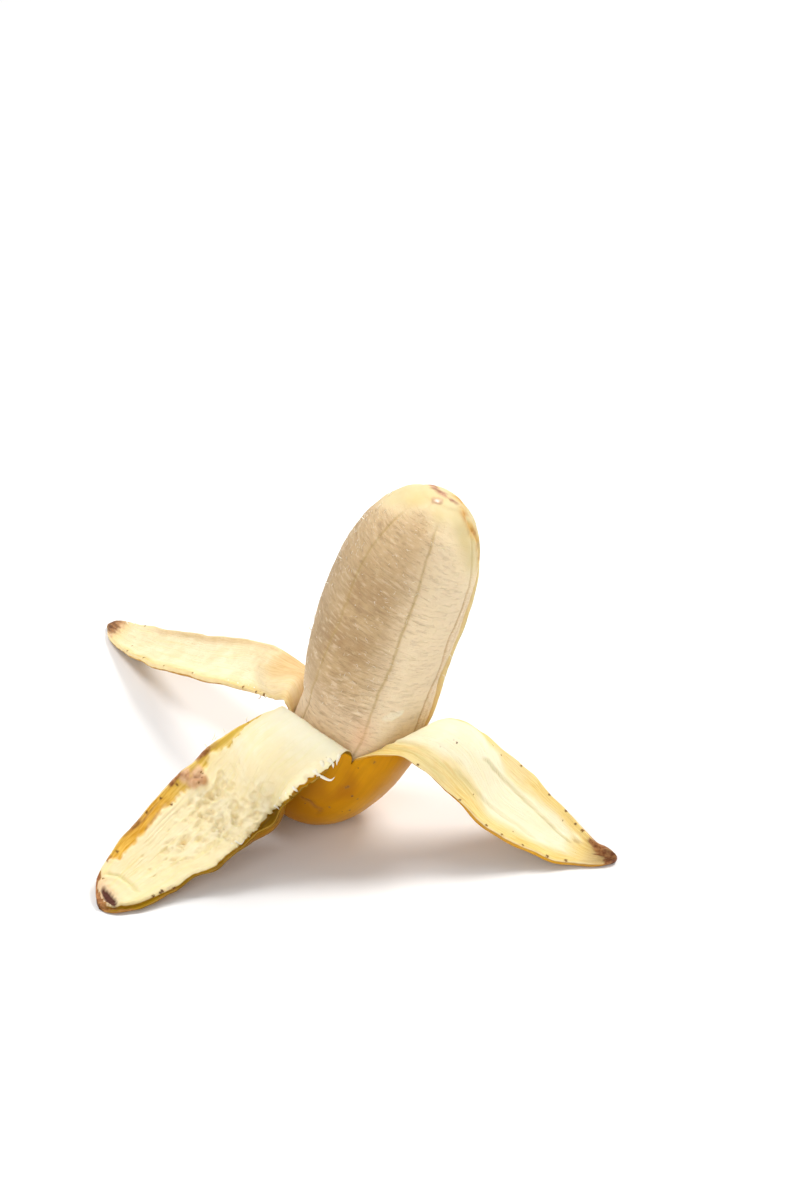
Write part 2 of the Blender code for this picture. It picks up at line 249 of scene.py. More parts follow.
def makeCamera():
    data = bpy.data.cameras.new("photoView")
    data.lens = view["lens"]
    data.sensor_fit = "AUTO"
    data.sensor_width = view["sensor"]
    data.clip_start, data.clip_end = 0.01, 20.0
    camera = bpy.data.objects.new("photoView", data)
    bpy.context.scene.collection.objects.link(camera)
    pitch = radians(view["pitch"])
    forward = np.array([0, np.cos(pitch), -np.sin(pitch)])
    right = np.array([1.0, 0, 0])
    up = np.cross(right, forward)
    wide, high = view["picture"]
    focal = high * view["lens"] / view["sensor"]
    across, down = view["aimPixel"]
    ray = forward + right * (across - wide / 2) / focal + up * (high / 2 - down) / focal
    place = (np.array(view["aim"], float) - ray * view["distance"] - np.array(fruit["centre"])) * mm
    turn = Matrix((right, up, -forward)).transposed().to_4x4()
    camera.matrix_world = Matrix.Translation(Vector(place)) @ turn
    bpy.context.scene.camera = camera
    print("camera at", place.round(4).tolist())


makeCamera()

# Light: a big soft lamp behind the right shoulder of the fruit, a top lamp and a weak fill from the front
light = {
    "key": {"place": (0.45, 0.32, 0.78), "size": 0.42, "power": 6.8, "colour": (1.0, 0.98, 0.95)},
    "top": {"place": (-0.42, 0.20, 0.90), "size": 0.45, "power": 4.2, "colour": (1.0, 1.0, 1.0)},
    "front": {"place": (-0.32, -0.96, 0.56), "size": 0.8, "power": 4.25, "colour": (1.0, 0.98, 0.95)},
    "sky": 0.42, "floor": (0.93, 0.93, 0.93), "floorSize": 3.0,
}


def makeLight():
    scene = bpy.context.scene
    for name in ("key", "top", "front"):
        lamp = bpy.data.lights.new(name, "AREA")
        lamp.shape = "DISK"
        lamp.size = light[name]["size"]
        lamp.energy = light[name]["power"]
        lamp.color = light[name]["colour"]
        item = bpy.data.objects.new(name, lamp)
        scene.collection.objects.link(item)
        place = Vector(light[name]["place"])
        item.location = place
        item.rotation_euler = (Vector((0, 0, 0.03)) - place).to_track_quat("-Z", "Y").to_euler()
    world = bpy.data.worlds.new("studio")
    world.use_nodes = True
    world.node_tree.nodes["Background"].inputs["Color"].default_value = (1, 1, 1, 1)
    world.node_tree.nodes["Background"].inputs["Strength"].default_value = light["sky"]
    scene.world = world
    scene.view_settings.view_transform = "Standard"
    scene.view_settings.look = "None"
    half = light["floorSize"] / 2
    mesh = bpy.data.meshes.new("floor")
    corners = [(-half, -half, 0), (half, -half, 0), (half, half, 0), (-half, half, 0)]
    mesh.from_pydata(corners, [], [(0, 1, 2, 3)])
    floor = bpy.data.objects.new("floor", mesh)
    scene.collection.objects.link(floor)
    material = bpy.data.materials.new("paleFloor")
    material.use_nodes = True
    shader = material.node_tree.nodes["Principled BSDF"]
    shader.inputs["Base Color"].default_value = (*light["floor"], 1)
    shader.inputs["Roughness"].default_value = 0.9
    mesh.materials.append(material)


makeLight()
print("light and floor set")


# Materials
class Nodes:
    # short calls for building a node tree
    def __init__(self, name):
        self.material = bpy.data.materials.new(name)
        self.material.use_nodes = True
        self.tree = self.material.node_tree
        self.shader = self.tree.nodes["Principled BSDF"]
        self.column = 0

    def put(self, socket, value):
        if isinstance(value, bpy.types.NodeSocket):
            self.tree.links.new(value, socket)
        elif isinstance(value, tuple) and len(value) == 3 and socket.type == "RGBA":
            socket.default_value = (*value, 1)
        else:
            socket.default_value = value

    def node(self, kind, inputs=None, **settings):
        item = self.tree.nodes.new(kind)
        item.location = (-300 - 170 * (self.column % 9), 500 - 220 * (self.column // 9))
        self.column += 1
        for key, value in settings.items():
            setattr(item, key, value)
        for key, value in (inputs or {}).items():
            self.put(item.inputs[key], value)
        return item

    def place(self):
        return self.node("ShaderNodeTexCoord").outputs["Object"]

    def mark(self, name):
        return self.node("ShaderNodeAttribute", attribute_name=name).outputs["Fac"]

    def join(self, x, y):
        return self.node("ShaderNodeCombineXYZ", {0: x, 1: y}).outputs[0]

    def stretch(self, vector, scale):
        return self.node("ShaderNodeMapping", {"Vector": vector, "Scale": scale}).outputs[0]

    def noise(self, vector, scale, detail=3.0, rough=0.55, warp=0.0):
        return self.node("ShaderNodeTexNoise", {"Vector": vector, "Scale": scale, "Detail": detail,
                                                "Roughness": rough, "Distortion": warp}).outputs["Fac"]

    def spots(self, vector, scale):
        inputs = {"Vector": vector, "Scale": scale}
        return self.node("ShaderNodeTexVoronoi", inputs, feature="F1").outputs["Distance"]

    def vector(self, what, inputs, output="Vector"):
        return self.node("ShaderNodeVectorMath", inputs, operation=what).outputs[output]

    def nearest(self, vector, spots):
        # distance to the nearest spot, each measured in its own radius
        result = 9.0
        for spot, size in spots:
            off = self.vector("DISTANCE", {0: vector, 1: tuple(spot)}, "Value")
            result = self.math("MINIMUM", result, self.math("DIVIDE", off, size))
        return result

    def shaken(self, vector, scale, reach):
        # the vector moved by up to half the reach each way, so that shapes measured from it turn irregular
        noise = self.node("ShaderNodeTexNoise", {"Vector": vector, "Scale": scale, "Detail": 2.0})
        off = self.vector("SUBTRACT", {0: noise.outputs["Color"], 1: (0.5, 0.5, 0.5)})
        return self.vector("ADD", {0: vector, 1: self.vector("SCALE", {0: off, "Scale": reach})})

    def band(self, value, low, high, start=0.0, end=1.0):
        # value from low to high becomes start to end, and is held beyond them
        return self.node("ShaderNodeMapRange", {"Value": value, "From Min": low, "From Max": high,
                                                "To Min": start, "To Max": end},
                         interpolation_type="SMOOTHSTEP").outputs["Result"]

    def math(self, what, a, b=0.0):
        return self.node("ShaderNodeMath", {0: a, 1: b}, operation=what).outputs[0]

    def times(self, a, b):
        return self.math("MULTIPLY", a, b)

    def total(self, *parts):
        # sum of value times weight over (value, weight) parts
        result = 0.0
        for value, weight in parts:
            result = self.math("ADD", result, self.times(value, weight))
        return result

    def mix(self, share, a, b):
        item = self.node("ShaderNodeMix", data_type="RGBA", blend_type="MIX")
        self.put(item.inputs[0], share)
        self.put(item.inputs[6], a)
        self.put(item.inputs[7], b)
        return item.outputs[2]

    def blend(self, value, low, high, a, b):
        # from colour a to colour b as the value goes from low to high
        return self.mix(self.band(value, low, high), a, b)

    def tint(self, colour, mark, share, tone):
        # the colour turned towards a tone by a share of a mark
        return self.mix(self.times(self.mark(mark), share), colour, tone)

    def relief(self, height, distance, strength):
        return self.node("ShaderNodeBump", {"Height": height, "Distance": distance,
                                            "Strength": strength}).outputs["Normal"]

    def finish(self, **values):
        for key, value in values.items():
            self.put(self.shader.inputs[key.replace("_", " ")], value)
        return self.material


# The flesh: a grid round the axis and along it, with seams, short cross dents and a smooth cap
flesh = {
    "round": 324, "rows": 300,
    # every line is a row of (angle, along) points
    "seams": [
        [(-47.5, 66), (-50.5, 60.3), (-51, 58), (-52, 51), (-51, 44.7), (-48, 37.1), (-47.5, 30.3),
         (-50.5, 22.2), (-54, 15.3), (-61.5, 8), (-66.5, -1.9), (-68, -20)],
        [(-2, 66), (-1.5, 60), (0, 54.2), (3.5, 47.2), (4.5, 40.5), (5, 33.5), (7, 25), (5.5, 18.6),
         (2, 10.2), (0.5, 4.5), (0, -20)],
        [(118, 66), (121, 48), (117, 30), (122, 12), (120, -20)],
        [(178, 66), (176, 45), (181, 28), (177, 8), (180, -20)],
        [(-122, 66), (-119, 50), (-124, 30), (-120, 10), (-121, -20)],
    ],
    "seamDepth": 0.24, "seamWidth": 0.36, "wave": 0.22, "dentDepth": 0.15, "inset": 0.12,
    # stripes that make the cross dents: (weight, width round the fruit, height along it, noise seed)
    "stripes": ((1.0, 2.6, 0.62, 3), (0.6, 1.3, 0.4, 13)),
    # where the smooth cap at the tip begins, and where the torn edge lies on the right
    "capEdge": [(-180, 62), (-110, 60), (-80, 58), (-70, 60), (-49, 62), (-30, 64), (-5, 62.6), (18, 61),
                (34, 57), (50, 52), (66, 50), (110, 55), (180, 62)],
    "bandEdge": [(58, 66), (57, 60), (61, 48), (60, 38), (58.5, 30), (63, 26), (66, 20), (60, 12.4),
                 (57, 6.9), (58, -20)],
    "spot": [(-148, 66.2), (-135, 67.4), (-30, 67.8), (48, 67.5)], "bead": (-20, 67.1),
    "groove": [(110, 67.2), (65, 66.4), (57, 65.4), (61, 63.4), (72, 60.5), (80, 55)],
    "flake": (22, 9.0), "peach": (-2, 1.5),
}


def lineDistance(angle, along, line):
    # distance in mm from a line given as (angle, along) points that go up or down the fruit
    off = (angle - crossAt(line, along) + 180) % 360 - 180
    return radians(1) * off * np.maximum(pulpRadius(along), 2.0)


def nearLine(base, line):
    # distance of every place of the grid from a line given as (angle, along) points on the flesh
    a, b = np.array(line, float).T
    path = smoothThrough(np.arange(len(line)), around(a, b, pulpRadius(b)), np.linspace(0, len(line) - 1, 40))
    near = np.full(base.shape[:2], 99.0)
    for spot in path:
        near = np.minimum(near, np.linalg.norm(base - spot, axis=-1))
    return near


def seamRelief(base, angle, along):
    broken = 0.75 + 0.25 * ease(0.6 + cloud(base, 4.0, 14))
    fade = ease((65 - along) / 5) * broken
    shaken = angle + 0.8 * cloud(base, 2.2, 5)
    lines = [bump(lineDistance(shaken, along, line), flesh["seamWidth"]) * fade for line in flesh["seams"]]
    seam = np.maximum.reduce(lines)
    return -flesh["seamDepth"] * seam, {"seam": seam}


def dentRelief(base, angle, along, cap):
    # cross dents and ridges in patches, weaker right of the middle, with a fine, a middling and a broad grain
    arc = np.radians(angle) * fruit["girth"]
    upward = along + 0.10 * pulpRadius(along) * np.radians((angle + 180) % 360)
    stripes = sum(weight * cloud(np.stack([arc / wide, upward / high, 0 * arc], -1), 1.0, seed)
                  for weight, wide, high, seed in flesh["stripes"])
    rough = 0.25 + 0.75 * ease(0.4 + 1.3 * cloud(base, 7.0, 4))
    rough = rough * (1 - 0.65 * between(arc, -2, 5, 30, 6)) * (1 - cap)
    dents = np.maximum(stripes - 0.35, 0) * rough
    ridges = np.maximum(-stripes - 0.45, 0) * rough
    grain = 0.06 * cloud(base, 0.8, 6) * (1 - cap) + 0.09 * cloud(base, 2.6, 7) + 0.24 * cloud(base, 11.0, 8)
    return flesh["dentDepth"] * (ridges - dents) + grain * (1 - 0.5 * cap), {
        "dent": np.clip(dents * 2, 0, 1), "ridge": np.clip(ridges * 2, 0, 1), "arc": arc, "upward": upward}


def tipRelief(base):
    # the rusty spot and the pale bead at the top, and the torn groove to their right
    spotOff = nearLine(base, flesh["spot"]) + 0.6 * cloud(base, 1.8, 15) + 0.35 * cloud(base, 0.8, 25)
    bead = around(*flesh["bead"], pulpRadius(flesh["bead"][1]))
    beadOff = np.linalg.norm(base - bead, axis=-1) + 0.7 * cloud(base, 1.5, 26)
    grooveOff = nearLine(base, flesh["groove"])
    groove = bump(grooveOff + 0.5 * cloud(base, 1.5, 16), 1.8) * ease(0.85 + 0.8 * cloud(base, 2.5, 27))
    height = 0.7 * bump(beadOff, 1.0) - 0.4 * bump(spotOff, 1.2)
    height = height + 0.22 * bump(grooveOff - 1.4, 0.6) - 0.5 * bump(grooveOff, 0.7)
    spot = np.maximum(ease(1.5 - spotOff / 0.95), 0.6 * ease(2.6 - beadOff / 0.7))
    return height, {"spot": spot, "bead": bump(beadOff, 0.6), "groove": groove}


def bandRelief(base, angle, along):
    # the torn outer layer on the right stands proud, with a line along its edge and a weaker one beside it
    off = lineDistance(angle + 1.5 * cloud(base, 2.0, 17), along, flesh["bandEdge"])
    fade = ease((66 - along) / 3)
    beige = ease(off / 0.9 + 0.5) * between(angle, 0, 20, 125, 10) * fade
    line = (bump(off, 0.34) + 0.45 * bump(off - 3.2, 0.35)) * fade
    return 0.2 * beige - 0.25 * line, {"beige": beige, "bandLine": line}


def flakeRelief(base, angle, along):
    # a loose flake low on the front, narrower to the right, its lower lip the prouder one
    middle, low = flesh["flake"]
    x = (angle - middle) / 10.0
    y = (along - low - 0.10 * (angle - middle)) / (1.25 - 0.5 * x)
    flake = ease((1.1 - np.hypot(x, y) + 0.2 * cloud(base, 1.0, 18)) * 3)
    return 0.5 * flake * (0.6 + 0.4 * np.clip(-y, -1, 1)), {"flake": flake}


def makeFlesh(material):
    surface = Surface()
    top, bottom = fruit["pulpAlong"][-1], fruit["pulpBottom"]
    even = np.linspace(0, 1, flesh["rows"] + 2)[1:-1]
    share = 0.4 * (0.5 - 0.5 * np.cos(pi * even)) + 0.6 * even
    turns = np.linspace(-180, 180, flesh["round"] + 1)[:-1]
    angle, along = np.meshgrid(turns, bottom + (top - bottom) * share)
    base = around(angle, along, pulpRadius(along))
    edge = smoothThrough(*zip(*flesh["capEdge"]), angle)
    fade = 8 + 8 * between(angle, -10, 50, 115, 20)
    cap = ease((along - edge + 1.3 * cloud(base, 4.0, 9)) / fade + 0.5)
    ends = between(along, bottom, 6, top, 5)
    height = flesh["wave"] * np.cos(np.radians(5 * (angle - 20))) * ends
    a, b = flesh["peach"]
    found = {"cap": cap, "peach": bump(np.hypot((angle - a) * 0.32, (along - b) * 0.6), 3.0)}
    for proud, more in (seamRelief(base, angle, along), dentRelief(base, angle, along, cap), tipRelief(base),
                        bandRelief(base, angle, along), flakeRelief(base, angle, along)):
        height = height + proud
        found.update(more)
    seated = ease((along - (tearAlong((angle + 160) % 360 - 160) + 1.0)) / 3.0)  # calm where the cup holds it
    outward = unitOf(base - axisAt(along)[0])
    height = height * ends * (0.15 + 0.85 * seated) - flesh["inset"]
    grid = surface.add(base + outward * height[..., None], **found)
    surface.wrap(grid)
    low, high = surface.add(axisAt([bottom, top])[0], cap=np.array([0.0, 1.0]), spot=np.array([0.0, 0.8]))
    surface.fan(grid[0], low, True)
    surface.fan(grid[-1], high)
    surface.piece("pulp", material, "pulp", "flesh")


def fleshFinish():
    n = Nodes("bananaFlesh")
    place = n.place()
    arc, upward, cap = n.mark("arc"), n.mark("upward"), n.mark("cap")
    run = n.join(arc, upward)
    streaks = n.noise(n.stretch(run, (0.30, 2.4, 1.0)), 1.0, 4.0, 0.65, 0.5)
    hair = n.noise(n.stretch(run, (0.6, 3.6, 1.0)), 1.0, 2.0, 0.6, 0.6)
    wrinkle = n.noise(n.stretch(run, (0.24, 1.45, 1.0)), 1.0, 2.0, 0.6, 0.7)
    broad = n.noise(place, 60.0, 4.0, 0.55)
    fine = n.noise(place, 1300.0, 2.0, 0.6)
    # colour round the flesh: darker tan left of the middle and paler on the right, partly the flesh's own
    # tone and partly painted shade and light
    tan = n.blend(broad, 0.35, 0.65, (0.43, 0.27, 0.125), (0.59, 0.41, 0.215))
    left = n.blend(broad, 0.3, 0.7, (0.41, 0.27, 0.135), (0.55, 0.385, 0.21))
    colour = n.blend(arc, -12.5, -18.0, tan, left)
    # lighter towards the top and at the foot by the cup: painted light, at the foot painted light reflected
    # from the peel
    colour = n.mix(n.band(upward, 40.0, 60.0, 0.0, 0.8), colour, (0.66, 0.47, 0.26))
    colour = n.mix(n.band(upward, 24.0, 4.0, 0.0, 0.85), colour, (0.89, 0.69, 0.46))
    colour = n.blend(arc, -6.0, 6.0, colour, (0.88, 0.71, 0.47))
    calm = n.band(arc, -1.0, 7.0, 0.26, 0.117)  # the flesh is smoother on the right, and paler there partly by its own tone and partly by painted light
    for noise, low, high, tone in ((streaks, 0.56, 0.66, (0.42, 0.27, 0.13)),
                                   (wrinkle, 0.59, 0.63, (0.42, 0.27, 0.14)),
                                   (wrinkle, 0.41, 0.34, (0.86, 0.70, 0.50)),
                                   (hair, 0.60, 0.70, (0.86, 0.70, 0.48))):
        colour = n.mix(n.times(n.band(noise, low, high), calm), colour, tone)
    beige = n.blend(hair, 0.4, 0.6, (0.76, 0.57, 0.34), (0.88, 0.71, 0.48))
    cream = n.blend(broad, 0.3, 0.7, (0.67, 0.52, 0.24), (0.71, 0.60, 0.34))
    cream = n.blend(cap, 0.4, 1.0, (0.84, 0.69, 0.42), cream)
    amber = n.blend(n.noise(place, 400.0, 2.0), 0.35, 0.6, (0.52, 0.22, 0.02), (0.74, 0.46, 0.12))
    rust = n.blend(n.noise(place, 450.0, 2.0), 0.35, 0.65, (0.30, 0.11, 0.06), (0.58, 0.32, 0.20))
    # the dents are tinted darker, painted shade, and the ridges paler, painted highlight, over their relief
    for mark, share, tone in (("dent", 0.42, (0.36, 0.22, 0.11)), ("ridge", 0.40, (0.90, 0.75, 0.53)),
                              ("seam", 0.72, (0.47, 0.32, 0.12)), ("peach", 0.55, (0.80, 0.46, 0.25)),
                              ("beige", 1.0, beige), ("bandLine", 0.6, (0.48, 0.26, 0.07)),
                              ("flake", 1.0, (0.90, 0.78, 0.55)), ("cap", 1.0, cream), ("groove", 0.9, amber),
                              ("spot", 0.95, rust), ("bead", 0.85, (0.90, 0.70, 0.56))):
        colour = n.tint(colour, mark, share, tone)
    height = n.total((streaks, 0.6), (fine, 0.3), (n.band(wrinkle, 0.56, 0.63), -0.4), (hair, 0.5))
    normal = n.relief(height, 0.00032, n.band(cap, 0.0, 1.0, 0.9, 0.2))
    return n.finish(Base_Color=colour, Roughness=n.band(n.mark("bead"), 0.2, 0.6, 0.58, 0.25), Normal=normal,
                    Subsurface_Weight=0.12, Subsurface_Radius=(0.004, 0.0022, 0.001), Subsurface_Scale=1.0,
                    Specular_IOR_Level=0.3)


makeFlesh(fleshFinish())


# The peel: strips between three rails each, a standing strip, the cup and the stem, as one closed skin
peel = {
    "order": ("left", "front_left", "right", "back"),
    "span": {"front_left": (-100, 0), "right": (0, 92), "back": (92, 200), "left": (-160, -100)},
    "across": {"front_left": 76, "right": 46, "back": 26, "left": 32},
    "rows": {"front_left": 240, "right": 180, "left": 170, "back": 90},
    "wall": 5, "cavityRows": 22, "cupRows": 99,
    "thick": 2.7, "edgeThick": 1.5, "leastThick": 0.45, "tipBulge": 0.4,
    "thinAlong": (0, 0.08, 0.2, 0.34, 0.7, 1), "thinShare": (1, 0.68, 0.66, 0.95, 1, 0.75),
    "narrowThin": 0.72,
    "rowShare": (0, 0.11, 0.38, 1), "rowAlong": (0, 0.06, 0.26, 1),
    # from where down the strip its end is rounded, how far it draws in and how many mm its middle reaches on
    "tip": {"front_left": (0.955, 0.66, 0.5), "right": (0.965, 0.6, 1.0), "left": (0.96, 0.75, 1.4)},
    "wallAlong": (0, 0.12, 0.33, 0.45, 0.6, 0.75, 1), "wallDepth": (0, 0, 4.2, 3.4, 0.9, 0, 0),
    "waver": {"front_left": (0.35, 0.75), "right": (0.4, 0.45), "left": (0.35, 0.4)},
    "backTop": 57.0, "backLong": 62.0, "backAlong": (0, 0.45, 0.75, 0.92, 1),
    "backFirst": (92, 94, 97, 106, 118), "backLast": (200, 196, 188, 170, 150),
    # the rings of the stem's cut end, as (radius, how deep it lies)
    "stemEnd": [(4.6, 0.3), (3.0, 0.8), (1.5, 0.6)],
    "roots": {
        "front_left": [((-97, -10.6, 16.6), (-50, -5, 17.2), (-3.2, -4, 17)),
                       ((-95, -8.8, 19), (-50, -1, 21.2), (-10, -2.2, 20))],
        "right": [((3.2, -3.8, 17.1), (46, 2.6, 18.0), (90.5, -0.4, 17.7)),
                  ((13, 0.2, 20), (47, 7.2, 21.4), (89, 3.6, 20.6))],
        "left": [((-157.5, -8, 16.9), (-130, -8.2, 17), (-104, -10.6, 16.6)),
                 ((-155, -4.2, 20.2), (-130, -3.8, 20.9), (-107, -8.6, 19.2))],
    },
    "rails": {
        "front_left": [
            ((-24, -1, 33.4), (-22.6, -17.2, 36.6), (-8.2, -24.6, 31.8)),
            ((-29.4, -2.7, 32), (-27.6, -18.8, 32.2), (-15.9, -27.1, 27)),
            ((-41.1, -7.6, 25.5), 4.6, (-25.5, -29.2, 17)),
            ((-54, -18.1, 17.2), 3.4, (-37.9, -35.8, 9.2)),
            ((-63.7, -27.4, 9.3), 2.4, (-49.3, -40.6, 4.4)),
            ((-68.5, -33.5, 4.7), 1.2, (-58.9, -45.8, 2.1)),
            ((-70.1, -39.5, 2.6), 0.3, (-65.8, -47.5, 1.5)),
        ],
        "right": [
            ((10.2, -22.2, 33.2), (24.5, -14, 35.6), (25.4, 0.4, 29.8)),
            ((16.2, -23.4, 29.8), (29.6, -13.2, 31), (30.2, -0.5, 28)),
            ((22.6, -22.9, 23.2), (33, -12.8, 24.2), (34.4, -1.6, 24.8)),
            ((31.3, -25, 15), 1.8, (41.5, -2.8, 19)),
            ((42.5, -26, 7.3), 2.2, (48.8, -5, 12)),
            ((52.6, -26.4, 3), 1.5, (56.2, -11.8, 6.6)),
            ((60.2, -26.2, 1.6), 0.8, (62.3, -20.4, 4.2)),
            ((66, -26.1, 1.4), 0.2, (67.2, -22.6, 3.2)),
        ],
        "left": [
            ((-20, 26, 34), (-24.5, 17, 33.6), (-24, 8, 31.5)),
            ((-27.9, 38, 30.5), (-30.5, 28, 29), (-30.4, 16.8, 28.5)),
            ((-42.9, 56.3, 21.5), 2.2, (-47.7, 38.8, 20)),
            ((-56.9, 74.7, 12.2), 1.8, (-63.2, 60.5, 10.7)),
            ((-69.1, 90.1, 5), 1.3, (-73.8, 80.6, 3.8)),
            ((-76.4, 97.4, 2.2), 0.5, (-78.8, 91.3, 1.3)),
        ],
    },
}

# What the photograph shows on the strips. Places are (across, down): -1 to 1 from the first torn edge to the
# last, and 0 to 1 from the fold to the tip. Sizes are in millimetres
marks = {
    # where the white pith starts beside the bare yellow band of the front left strip
    "pithEdge": [(-1.3, 0), (-1.05, 0.14), (-0.985, 0.253), (-0.81, 0.323), (-0.76, 0.372), (-0.86, 0.465),
                 (-0.82, 0.51), (-0.7, 0.585), (-0.725, 0.647), (-0.76, 0.703), (-0.74, 0.758), (-0.675, 0.8),
                 (-0.775, 0.865), (-1.2, 0.91), (-1.3, 1)],
    "pithStep": 0.45,
    # where the pith of its near edge is torn off down to the skin, and how deep
    "nearEdge": [(1.1, 0), (1.07, 0.13), (1.0, 0.19), (0.96, 0.25), (0.975, 0.3), (0.985, 0.335),
                 (0.863, 0.395), (0.74, 0.425), (0.65, 0.46), (0.70, 0.50), (0.825, 0.545), (0.90, 0.588),
                 (0.92, 0.645), (0.99, 0.74), (0.925, 0.848), (0.825, 0.905), (0.70, 0.953), (0.52, 0.988),
                 (0.3, 1.0)],
    "nearStep": 1.5,
    "lump": [(-0.95, 0.57), (-0.84, 0.535), (-0.66, 0.53), (-0.74, 0.555)],
    "crease": [(-0.75, 0.925), (-0.33, 0.893), (0.05, 0.888), (0.425, 0.888)],
    # the dark oval at its tip, and half its width and length
    "oval": (0.06, 0.969), "ovalSize": (8.0, 1.05),
    # pits as (across, down, size, depth), and how many small ones are drawn at random
    "pits": [(-0.387, 0.487, 1.3, 0.4), (-0.137, 0.455, 1.1, 0.4), (-0.3, 0.515, 1.6, 0.5),
             (-0.33, 0.54, 1.2, 0.4), (0.4, 0.417, 1.2, 0.5), (0.513, 0.37, 1.6, 0.6),
             (-0.287, 0.573, 1.2, 0.4), (-0.237, 0.605, 1.0, 0.3), (0.225, 0.56, 1.1, 0.4),
             (0.3, 0.495, 1.4, 0.5), (0.038, 0.67, 1.2, 0.4), (0.088, 0.688, 1.0, 0.5),
             (-0.125, 0.578, 1.1, 0.4), (0.137, 0.49, 1.2, 0.4), (0.3, 0.578, 1.0, 0.4),
             (0.44, 0.52, 1.1, 0.4), (0.0, 0.62, 0.9, 0.3), (-0.05, 0.74, 1.0, 0.35), (0.25, 0.64, 0.9, 0.3),
             (-0.5, 0.47, 0.9, 0.3)],
    "smallPits": 190,
    # dark flecks as (across, down, radius), the large ones drawn as a few smaller ones
    "flecks": {
        "front_left": [(-1, 0.297, 0.3), (-0.98, 0.478, 0.35), (-0.9, 0.6, 0.4), (-0.71, 0.642, 0.3),
                       (-0.97, 0.715, 0.35), (-0.9, 0.85, 0.35), (0.92, 0.86, 0.5), (0.88, 0.875, 0.4),
                       (-0.75, 0.945, 0.25), (-0.95, 0.66, 0.3), (-0.72, 0.53, 0.25), (-0.76, 0.52, 0.2),
                       (-0.68, 0.545, 0.2), (-0.8, 0.525, 0.22), (0.97, 0.82, 0.4)],
        "right": [(-0.262, 0.333, 0.24), (0.8, 0.515, 0.24), (-0.688, 0.675, 0.2), (0.75, 0.463, 0.2),
                  (-0.688, 0.51, 0.18), (0.625, 0.815, 0.2), (0.97, 0.603, 0.3), (-0.99, 0.348, 0.3),
                  (-1, 0.503, 0.3), (-1, 0.598, 0.3), (-1, 0.802, 0.5), (-1, 0.86, 0.4), (0.96, 0.888, 0.42),
                  (-1, 0.72, 0.3), (0.9, 0.86, 0.3), (0.98, 0.75, 0.3), (-1, 0.65, 0.35), (0.99, 0.82, 0.35)],
        "left": [(0.97, 0.74, 0.35), (0.99, 0.63, 0.3), (-0.98, 0.86, 0.3), (0.45, 0.85, 0.22),
                 (0.99, 0.3, 0.4), (1, 0.2, 0.45), (1, 0.24, 0.35), (1, 0.5, 0.3), (1, 0.84, 0.35)],
        "back": [(0.3, 0.35, 0.8), (0.62, 0.6, 1.1), (0.5, 0.2, 0.6), (0.75, 0.42, 0.5), (-0.2, 0.7, 0.7),
                 (-0.5, 0.5, 0.6), (-0.3, 0.25, 0.5), (0.1, 0.85, 0.6), (0.15, 0.45, 0.4), (0.66, 0.58, 0.7)],
    },
    "largeFleck": 0.45,
    # ridges of the right strip: how proud each stands, how green it is, its noise seed and its line
    "ridges": [
        (0.45, 0.7, 33, [(0.01, 0.438), (0.388, 0.573), (0.338, 0.682), (0.213, 0.777), (0.012, 0.855)]),
        (0.32, 0.5, 34, [(-0.688, 0.41), (-0.6, 0.505), (-0.425, 0.6), (-0.412, 0.675), (-0.525, 0.748)]),
        (0.24, 0.35, 35, [(-0.7, 0.1), (-0.84, 0.2), (-0.9, 0.333), (-0.93, 0.43)]),
        (0.2, 0.3, 36, [(-0.5, 0.1), (-0.68, 0.22), (-0.78, 0.335), (-0.76, 0.438), (-0.72, 0.537)])],
    "blob": (0.425, 0.878),
    # flecks on the skin of the cup, as angle, along and radius, with the wrinkle's line and a brown stain
    "cupFlecks": [(15, -3, 0.45), (13.4, -3.3, 0.3), (6, -4.1, 0.3), (7, -7, 0.2), (17, -12.9, 0.28),
                  (8, -11.5, 0.32), (7.2, -11.9, 0.3), (-2, -5.8, 0.2), (24, -13, 0.2), (30, -16, 0.22),
                  (12, -17.5, 0.22), (0, -21, 0.18), (150, -14, 0.9), (152, -15.2, 0.6), (-140, -20, 1.1),
                  (-138, -17, 0.5), (110, -22, 0.8), (-70, -30, 0.9), (60, -24, 0.4), (75, -10, 0.5),
                  (-165, -9, 0.7), (130, -4, 0.5), (-110, -12, 0.6), (-120, -26, 0.8), (170, -27, 0.9),
                  (85, -18, 0.45), (-155, -33, 0.8), (100, -36, 0.7), (20, -38, 0.5)],
    "wrinkle": [(-8, -21.2), (-6, -20.8), (-2, -19.8), (4, -19.6), (12.5, -19.3), (16, -20.4)],
    "stain": (8.5, -12.5),
}
grain = 0.33  # mm of skin for each degree round the fruit
fibreRun = np.array([1.0, 9.0, 1.0])  # how long fibres and brown streaks are for their width
streakRun = np.array([1.6, 11.0, 1.0])
wallShares = np.linspace(0, 1, peel["wall"] + 1)[1:-1]  # where the rows of a torn edge lie in its thickness


def waver(v):
    return 0.6 * np.sin(31.0 * v + 1.0) + 0.4 * np.sin(53.0 * v + 2.2)


def lineOff(u, v, line, wide):
    # distance across a strip from a line of (across, down) points, in mm, and how far down the line reaches
    downs = [down for across, down in line]
    return (u - crossAt(line, v)) * wide, between(v, min(downs) - 0.015, 0.03, max(downs) + 0.015, 0.03)


